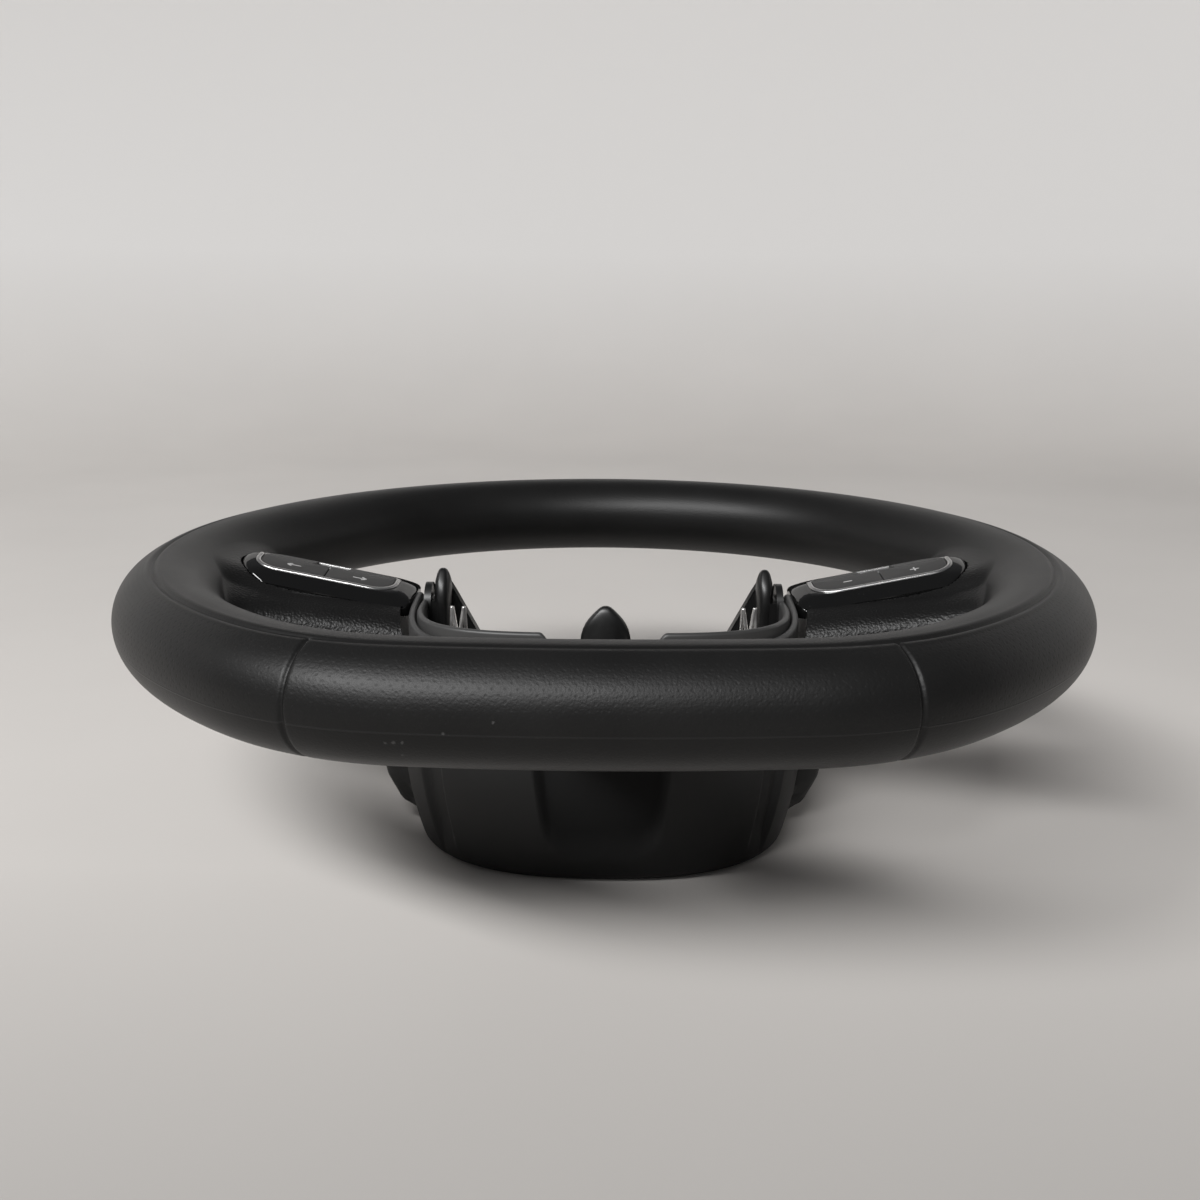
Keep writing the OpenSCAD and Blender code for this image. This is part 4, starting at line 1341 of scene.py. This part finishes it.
def corner_box(x0: float, x1: float, y0: float, y1: float,
               radii: tuple[float, float, float, float], count: int = 9) -> Array:
    """A rectangle with its own radius at each corner.

    Args:
        x0, x1, y0, y1: Its sides.
        radii: Radii, from the corner at x1, y1 anticlockwise.
        count: Points on each corner.

    Returns:
        Outline, anticlockwise, (4 * count, 2): each corner is a quarter circle.
    """
    a = np.linspace(0, 90, count)
    parts = []
    for k, (sx, sy) in enumerate([(1, 1), (-1, 1), (-1, -1), (1, -1)]):
        r = radii[k]
        cx, cy = (x1 - r if sx > 0 else x0 + r), (y1 - r if sy > 0 else y0 + r)
        parts.append([cx, cy] + on_circle(a + 90 * k, r))
    return np.concatenate(parts)


def plate(outline: Array, low: float, high: float, edge: float) -> Array:
    """Rings of a plate from low to high with quarter-round edges."""
    a = np.array([0.0, 30, 60, 90])
    inset = edge * (1 - sin_deg(a[::-1]))
    return ring_loft(outline, np.concatenate([low + edge * (1 - cos_deg(a[::-1])),
                                              high - edge * (1 - cos_deg(a))]),
                     np.concatenate([inset[::-1], inset]))


@dataclass
class AirbagSeat:
    """Guide tongues and wire springs that take the airbag module.

    width_at and thick_at give a tongue's half sizes at drops below its tip. gusset is
    the gusset's outline, x and z, and gusset_y the two faces' y. bends are the
    spring's corners from its own x, y and height above the seat.
    """

    side_x: float = 61.5
    low_x: float = 0.8
    low_y: float = 57.8
    low_wider: float = 1.12
    seat: float = 38.0
    tip: float = 72.6
    thick: float = 6.4
    degree: float = 2.6
    width_at: tuple[tuple[float, ...], tuple[float, ...]] = (
        (0, .15, .5, 1.1, 2.0, 3.2, 4.6, 6.2, 8, 10, 12.5, 35),
        (.55, 1.0, 1.6, 2.25, 3.1, 4.15, 5.2, 6.15, 6.9, 7.4, 7.7, 7.7))
    thick_at: tuple[tuple[float, ...], tuple[float, ...]] = (
        (0, .15, .5, 1.1, 2, 4.6, 8, 12.5, 16, 35),
        (.5, .95, 1.4, 1.8, 2.2, 2.9, 3.15, 3.2, 3.2, 3.2))
    rib_x: float = 65.5
    rib_thick: float = 2.6
    rib_half: float = 8.0
    rib_top: float = 67.0
    foot: float = 3.0
    web_half: float = 7.4
    web_top: float = 61.2
    gusset: tuple[tuple[float, float], ...] = (
        (47.3, 40.2), (60.5, 40.2), (60.5, 66.5), (59.3, 66.2), (57.4, 63.0),
        (48.6, 46.5))
    gusset_y: tuple[float, float] = (-7.0, -2.0)
    wire: float = 1.5
    bends: tuple[tuple[float, float, float], ...] = (
        (0, 15, 0.75), (0, -17, 0.75), (-1.2, -18, 24.4), (-3.3, -18, 10),
        (-5.6, -18, 24.2), (-6.2, -16, 6.75))

    def tongue(self) -> Array:
        """Rings of a tongue in its own frame: x across its width, y its thickness.

        Each ring is a superellipse whose half sizes follow a curve from the drop
        below the tip: a blunt point, sloping shoulders, a plain shank.
        """
        drop = np.array([*self.width_at[0][:-1], 15, 20, 27, self.tip - self.seat])
        half = np.stack([np.interp(drop, *self.width_at),
                         np.interp(drop, *self.thick_at)], axis=-1)
        round_one = on_circle(once_round(48))
        flat = np.sign(round_one) * np.abs(round_one) ** (2 / self.degree)
        return at_height(flat * half[:, None], (self.tip - drop)[:, None])

    def side_piece(self, side: Side) -> bpy.types.Object:
        """A side tongue with its foot and its upright rib with a rounded top."""
        seat, rib_back = self.seat, self.rib_x + self.rib_thick
        tongue = self.tongue()[..., [1, 0, 2]] * [1, -1, 1] + [self.side_x, 0, 0]
        foot = corner_box(self.side_x - self.thick / 2, rib_back, -10, 10, (0.8,) * 4)
        half = self.rib_half
        arch = [0, self.rib_top - half] + on_circle(np.linspace(0, 180, 25), half)
        arch = np.concatenate([arch, [[-half, seat + 0.4], [half, seat + 0.4]]])
        web = corner_box(self.side_x - 1, self.rib_x + 0.6, -self.web_half,
                         self.web_half, (0.8,) * 4)
        gusset = plate(np.array(self.gusset), *self.gusset_y, 0.3)
        stacks = [tongue, plate(foot, seat, seat + self.foot, 0.5),
                  plate(arch, self.rib_x, rib_back, 0.5)[..., [2, 0, 1]],
                  plate(web, seat + 0.5, self.web_top, 0.6),
                  gusset[..., [0, 2, 1]] * [1, -1, 1]]
        return solid(f"guide_{side.word}", *(place(rings, side) for rings in stacks))

    def low_piece(self) -> bpy.types.Object:
        """The tongue at six o'clock."""
        return solid("guide_low", self.tongue() * [self.low_wider, 1, 1]
                     + [self.low_x, -self.low_y, 0])

    def spring(self, side: Side) -> bpy.types.Object:
        """A bent wire: a round section carried along a path with rounded bends."""
        x = self.side_x - self.thick / 2 - 0.3 - self.wire / 2
        path = rounded_path(np.array(self.bends) + [x, 0, self.seat], 1.1, 8)
        return solid(f"wire_{side.word}", place(tube(path, self.wire / 2, 14), side),
                     sharp=80)


def rounded_path(knots: Array, reach: float, count: int) -> Array:
    """A path through knots with each bend rounded.

    Each bend is the curve (1 - t) squared a + 2 t (1 - t) b + t squared c, where b is
    the knot, and a and c lie reach before and after it.

    Args:
        knots: Corners of the path, (k, 3).
        reach: How far from a knot its bend starts.
        count: Points on each bend.

    Returns:
        Points of the path, (k', 3).
    """
    inner = knots[1:-1]
    before = unit(knots[:-2] - inner) * reach + inner
    after = unit(knots[2:] - inner) * reach + inner
    t = np.linspace(0, 1, count)[None, :, None]
    bends = (before[:, None] * (1 - t) ** 2 + inner[:, None] * 2 * t * (1 - t)
             + after[:, None] * t**2)
    return np.concatenate([knots[:1], bends.reshape(-1, 3), knots[-1:]])


def tube(path: Array, radius: float, sides: int) -> Array:
    """Rings of a round section carried along a path, their ends rounded.

    The section's axes are square to the path and to one slanted line, which no part
    of the path runs along.
    """
    way = unit(np.gradient(path, axis=0))
    first = unit(np.cross(way, [0.577, 0.577, 0.577]))
    second = np.cross(way, first)
    a = once_round(sides)[None, :, None]
    rings = path[:, None] + radius * (first[:, None] * cos_deg(a)
                                      + second[:, None] * sin_deg(a))
    start = path[0] + (rings[0] - path[0]) * 0.6 - way[0] * radius * 0.3
    end = path[-1] + (rings[-1] - path[-1]) * 0.6 + way[-1] * radius * 0.3
    return np.concatenate([start[None], rings, end[None]])


# ---------------------------------------------------------------- switch pods


class Legend(Enum):
    """Plain marks on the keys, as strokes: x, y, length and angle in degrees."""

    PLUS = ((0.0, 0.0, 3.4, 0.0), (0.0, 0.0, 3.4, 90.0))
    MINUS = ((0.0, 0.0, 3.4, 0.0),)
    OUTWARDS = ((-0.3, 0.0, 5.0, 0.0), (1.5, 0.7, 2.2, 145.0), (1.5, -0.7, 2.2, 35.0))
    INWARDS = ((0.3, 0.0, 5.0, 0.0), (-1.5, 0.7, 2.2, 35.0), (-1.5, -0.7, 2.2, 145.0))


@dataclass
class SwitchPod:
    """One pod: surround, bright trim, four keys with plain marks and a roller."""

    side: Side
    pod: Pod = Pod()
    fit: float = 0.35
    key_thick: float = 2.6
    post: float = 6.15
    roller_d: float = 10.8
    roller_sunk: float = 1.25
    roller_w: float = 9.0
    ribs: int = 32
    bar_half: float = 0.3

    def surround(self) -> bpy.types.Object:
        """The glossy body: a flat foot, a sloping band, the face and the opening.

        Rings run from the foot's outline to the face's, and on to the key field's. The
        band between rises evenly along the sides and as a dome at the two ends.
        """
        pod = self.pod
        short, half, inner_end = pod.face
        low = pod.plan(pod.length / 2, pod.half)
        high = pod.plan(pod.length / 2 - short, half)
        high[:, 0] = np.maximum(high[:, 0], inner_end)
        # Along the band: share of the way in, of the way up, and of that at the ends.
        way = np.array([[0, 0, 0.1], [0.06, 0.08, 0.55], [0.15, 0.18, 0.7],
                        [0.3, 0.36, 0.81], [0.6, 0.68, 0.92], [0.84, 0.88, 0.97],
                        [0.93, 0.96, 0.985], [0.985, 0.99, 0.995], [1.06, 1.0, 1.0]])
        dome = smooth((low[:, 0] - 19) / 9) + smooth((-31 - low[:, 0]) / 3)
        rings = []
        for share, rise, round_rise in way:
            flat = low + (high - low) * share
            top = pod.roof(flat[:, 1], -0.3) - pod.band_foot
            rise = rise + (round_rise - rise) * dome
            rings.append(at_height(flat, pod.band_foot + top * rise))
        angle = np.degrees(np.arctan2(high[:, 1], high[:, 0]))
        inner = pod.field_at(angle, pod.trim)
        top = pod.roof(inner[:, 1])
        rings.append(at_height(inner, top - 0.32))
        rings += [at_height(inner, np.minimum(top - 0.6, z))
                  for z in (-1.0, -4.0, pod.foot + 3)]
        rings += [at_height(inner, pod.foot), at_height(low, pod.foot)]
        return solid(f"pod_body_{self.side.word}",
                     pod.outwards(np.array(rings), self.side), sharp=28, closed=True)

    def trim(self) -> bpy.types.Object:
        """The bright line round the key field: a narrow band with a rounded top."""
        pod = self.pod
        angle, arc = once_round(180), np.linspace(0, 180, 7)
        grow = np.concatenate([[pod.trim], pod.trim / 2 * (1 + cos_deg(arc)), [0.0]])
        lift = np.concatenate([[-9.0], 0.4 * sin_deg(arc) - 0.07, [-9.0]])
        rings = []
        for g, up in zip(grow, lift):
            flat = pod.field_at(angle, float(g))
            sunk = 0.6 * smooth(flat[:, 1] / 2)
            z = np.maximum(pod.roof(flat[:, 1]) + up - sunk, -5.0)
            rings.append(at_height(flat, z))
        return solid(f"pod_trim_{self.side.word}",
                     pod.outwards(np.array(rings), self.side), sharp=60, closed=True)

    def key_outline(self, far: bool, outer: bool) -> Array:
        """Outline of a key in the pod's own plan."""
        pod, gap = self.pod, self.fit / 2
        end, half = pod.field_half[0] - self.fit, pod.field_half[1] - self.fit
        start = self.post + self.fit if far else gap
        x0, x1 = (start, end) if outer else (-end, -start)
        y0, y1 = (gap, half) if far else (-half, -gap)
        big, small = pod.field_round - self.fit, 0.5
        at = (0 if far else 3) if outer else (1 if far else 2)
        radii = tuple(big if k == at else small for k in range(4))
        return corner_box(x0, x1, y0, y1, radii)

    @staticmethod
    def key_word(far: bool, outer: bool) -> str:
        """A key's place in its pod, as the CAD nodes spell it."""
        return f"{'far' if far else 'near'}_{'outer' if outer else 'inner'}"

    def key(self, far: bool, outer: bool) -> tuple[bpy.types.Object, Array]:
        """A key, which is a plate on the roof's slope over a stem, and its middle."""
        pod = self.pod
        outline = self.key_outline(far, outer)
        slope = pod.far if far else pod.near
        rings = ring_loft(outline, np.array([-self.key_thick, -0.5, -0.2, -0.05, 0.0]),
                          np.array([0.0, 0.0, 0.07, 0.22, 0.5]))
        rings[..., 2] -= np.abs(rings[..., 1]) * slope
        middle = (outline.min(0) + outline.max(0)) / 2
        stem = ring_loft(on_circle(once_round(16), 2.0) + middle,
                         np.array([-11.6, -2.8]), np.zeros(2))
        cap = solid(f"cap_{self.key_word(far, outer)}_{self.side.word}",
                    pod.outwards(rings, self.side), pod.outwards(stem, self.side))
        return cap, middle

    def legend(self, mark: Legend, middle: Array, word: str) -> bpy.types.Object:
        """A mark printed on a near key: thin strokes that stand 0.03 mm proud."""
        pod, half, stacks = self.pod, self.bar_half, []
        for x, y, length, angle in mark.value:
            bar = corner_box(-length / 2, length / 2, -half, half, (0.25,) * 4, 4)
            c, s = float(cos_deg(angle)), float(sin_deg(angle))
            bar = bar @ np.array([[c, s], [-s, c]]) + [x, y] + middle
            rings = ring_loft(bar, np.array([-0.2, 0.03, 0.04]),
                              np.array([0.0, 0.0, 0.03]))
            rings[..., 2] -= np.abs(rings[..., 1]) * pod.near
            stacks.append(pod.outwards(rings, self.side))
        return solid(f"legend_{word}_{self.side.word}", *stacks)

    def roller(self) -> bpy.types.Object:
        """The ribbed thumb roller on its axle.

        The radius dips by a cosine wave round the roller between its plain ends. x, r
        and rib are its half profile: place along the axle, radius and share of ribs.
        """
        pod = self.pod
        y = pod.field_half[1] - self.fit - self.roller_d / 2
        z = 0.5 - y * pod.far - self.roller_d / 2
        half, big = self.roller_w / 2, self.roller_d / 2 - self.roller_sunk
        a = once_round(self.ribs * 8)
        x = np.concatenate([[-5.95, -5.85, -half, -half, -half + 0.1, -half + 0.5,
                             -half + 0.9], np.linspace(-half + 1.3, 0, 5)])
        r = np.concatenate([[1.0, 1.2, 1.2, big - 0.5, big - 0.15], np.full(7, big)])
        rib = np.repeat([0.0, 1.0], [7, 5])
        x, r, rib = (np.concatenate([v, v[-2::-1] * sign])[:, None]
                     for v, sign in ((x, -1), (r, 1), (rib, 1)))
        radius = r - rib * 0.16 * (1 - cos_deg(a * self.ribs))
        rings = at_height([y, z] + on_circle(a, radius), x)[..., [2, 0, 1]]
        return solid(f"thumb_roller_{self.side.word}",
                     pod.outwards(rings, self.side), sharp=50)

    def build(self, shop: Workshop, finishes: Finishes) -> None:
        """Makes and fits every piece of the pod."""
        w = self.side.word
        shop.fit(self.surround(), finishes.gloss, "gloss_black", "wheel",
                 f"surround_{w}")
        shop.fit(self.trim(), finishes.chrome, "satin_chrome", "wheel", f"trim_{w}")
        shop.fit(self.roller(), finishes.roller, "roller_metal", f"roller_{w}",
                 f"roller_{w}")
        marks = ((Legend.INWARDS, Legend.OUTWARDS) if self.side is Side.LEFT
                 else (Legend.MINUS, Legend.PLUS))
        for far in (False, True):
            for outer in (False, True):
                word = self.key_word(far, outer)
                body = f"key_{word}_{w}"
                cap, middle = self.key(far, outer)
                shop.fit(cap, finishes.key, "key_grey", body, body)
                if not far:
                    shop.fit(self.legend(marks[outer], middle, word),
                             finishes.legend, "key_grey", body)
        shop.dress_node(f"case_{w}", finishes.case)
        shop.dress_node(f"board_{w}", finishes.board)


# ---------------------------------------------------------------- stage


@dataclass
class Stage:
    """Floor, light and camera, as in the photograph.

    The lamp lies far away in the way given, from a point aim above the origin. Its
    size is metres and its power watts.
    """

    floor: float = -28.0
    inner: float = 400.0
    reach: float = 1800.0
    bend: float = 700.0
    above: float = 500.0
    eye: tuple[float, float, float] = (0.57, -448.16, 171.58)
    pitch: float = 13.936
    yaw: float = 0.253
    roll: float = 0.314
    key_way: tuple[float, float, float] = (-0.41, -0.63, 0.745)
    key_far: float = 3000.0
    aim: float = 50.0
    key_size: tuple[float, float] = (2.8, 0.5)
    key_power: float = 128.0
    sky: float = 0.12

    def ground(self, shop: Workshop, finish: Finish) -> None:
        """A plain round floor whose back half bends up into a wall.

        Each ring's height is the floor's plus bend times 1 - cos of how far it has
        turned up, and the front half stays flat.
        """
        a, turn = once_round(144), np.linspace(0, 90, 19)
        r = np.concatenate([[self.inner], self.reach - self.bend * (1 - sin_deg(turn)),
                            [self.reach]])[:, None]
        up = np.concatenate([[0.0], self.bend * (1 - cos_deg(turn)),
                             [self.bend + self.above]])[:, None]
        surface = Surface()
        numbers = looped(surface.add(at_height(
            on_circle(a, r), self.floor + up * smooth(sin_deg(a) * 3))))
        surface.mesh_between(numbers)
        surface.fan(numbers[0], np.array([0, 0, self.floor]))
        ground = surface.build("ground")
        if ground.data.polygons[0].normal.z < 0:
            ground.data.flip_normals()
        ground.data.materials.append(shop.material(finish))

    def light(self) -> None:
        """One wide lamp high behind the camera's left, and pale light all round."""
        lamp = bpy.data.lights.new("key", "AREA")
        lamp.shape = "RECTANGLE"
        lamp.size, lamp.size_y = self.key_size
        lamp.energy = self.key_power
        holder = bpy.data.objects.new("key", lamp)
        way = Vector(self.key_way).normalized()
        holder.location = way * self.key_far * MM + Vector((0, 0, self.aim * MM))
        holder.rotation_mode = "QUATERNION"
        holder.rotation_quaternion = way.to_track_quat("Z", "Y")
        bpy.context.scene.collection.objects.link(holder)
        world = bpy.data.worlds.new("room")
        bpy.context.scene.world = world
        world.use_nodes = True
        back = world.node_tree.nodes["Background"]
        back.inputs["Color"].default_value = (0.96, 0.965, 1.0, 1.0)
        back.inputs["Strength"].default_value = self.sky

    def camera(self) -> None:
        """The photograph's camera."""
        lens = bpy.data.cameras.new("camera")
        lens.sensor_width = 36.0
        lens.lens = 36.0
        lens.clip_start = 0.01
        lens.clip_end = 50.0
        eye = bpy.data.objects.new("camera", lens)
        eye.matrix_world = (Matrix.Translation(Vector(self.eye) * MM)
                            @ Matrix.Rotation(math.radians(self.yaw), 4, "Z")
                            @ Matrix.Rotation(math.radians(90 - self.pitch), 4, "X")
                            @ Matrix.Rotation(math.radians(self.roll), 4, "Z"))
        bpy.context.scene.collection.objects.link(eye)
        bpy.context.scene.camera = eye


def main() -> None:
    """Builds the wheel's looks, sub-assembly by sub-assembly."""
    logging.basicConfig(level=logging.INFO, format="%(name)s: %(message)s")
    shop, finishes = Workshop(), Finishes()
    shop.fit(RimSkin().build(), finishes.skin, "grip_skin", "wheel", "rim_cover")
    shop.fit(HubBezel().build(), finishes.bezel, "bezel_satin", "wheel", "hub_bezel")
    shop.fit(RearCover().build(), finishes.cover, "cover_plastic", "wheel",
             "rear_cover")
    seat = AirbagSeat()
    for side in Side:
        shop.fit(seat.side_piece(side), finishes.guide, "guide_plastic", "wheel",
                 f"tongue_{side.word}")
        shop.fit(seat.spring(side), finishes.wire, "spring_wire", "wheel",
                 f"spring_{side.word}")
        SwitchPod(side).build(shop, finishes)
    shop.fit(seat.low_piece(), finishes.guide, "guide_plastic", "wheel",
             "tongue_bottom")
    shop.dress_node("armature", finishes.alloy)
    shop.dress_node("column_boss", finishes.steel)
    stage = Stage()
    stage.ground(shop, finishes.ground)
    stage.light()
    stage.camera()
    bpy.context.scene.view_settings.view_transform = "Standard"


if __name__ == "__main__":
    main()
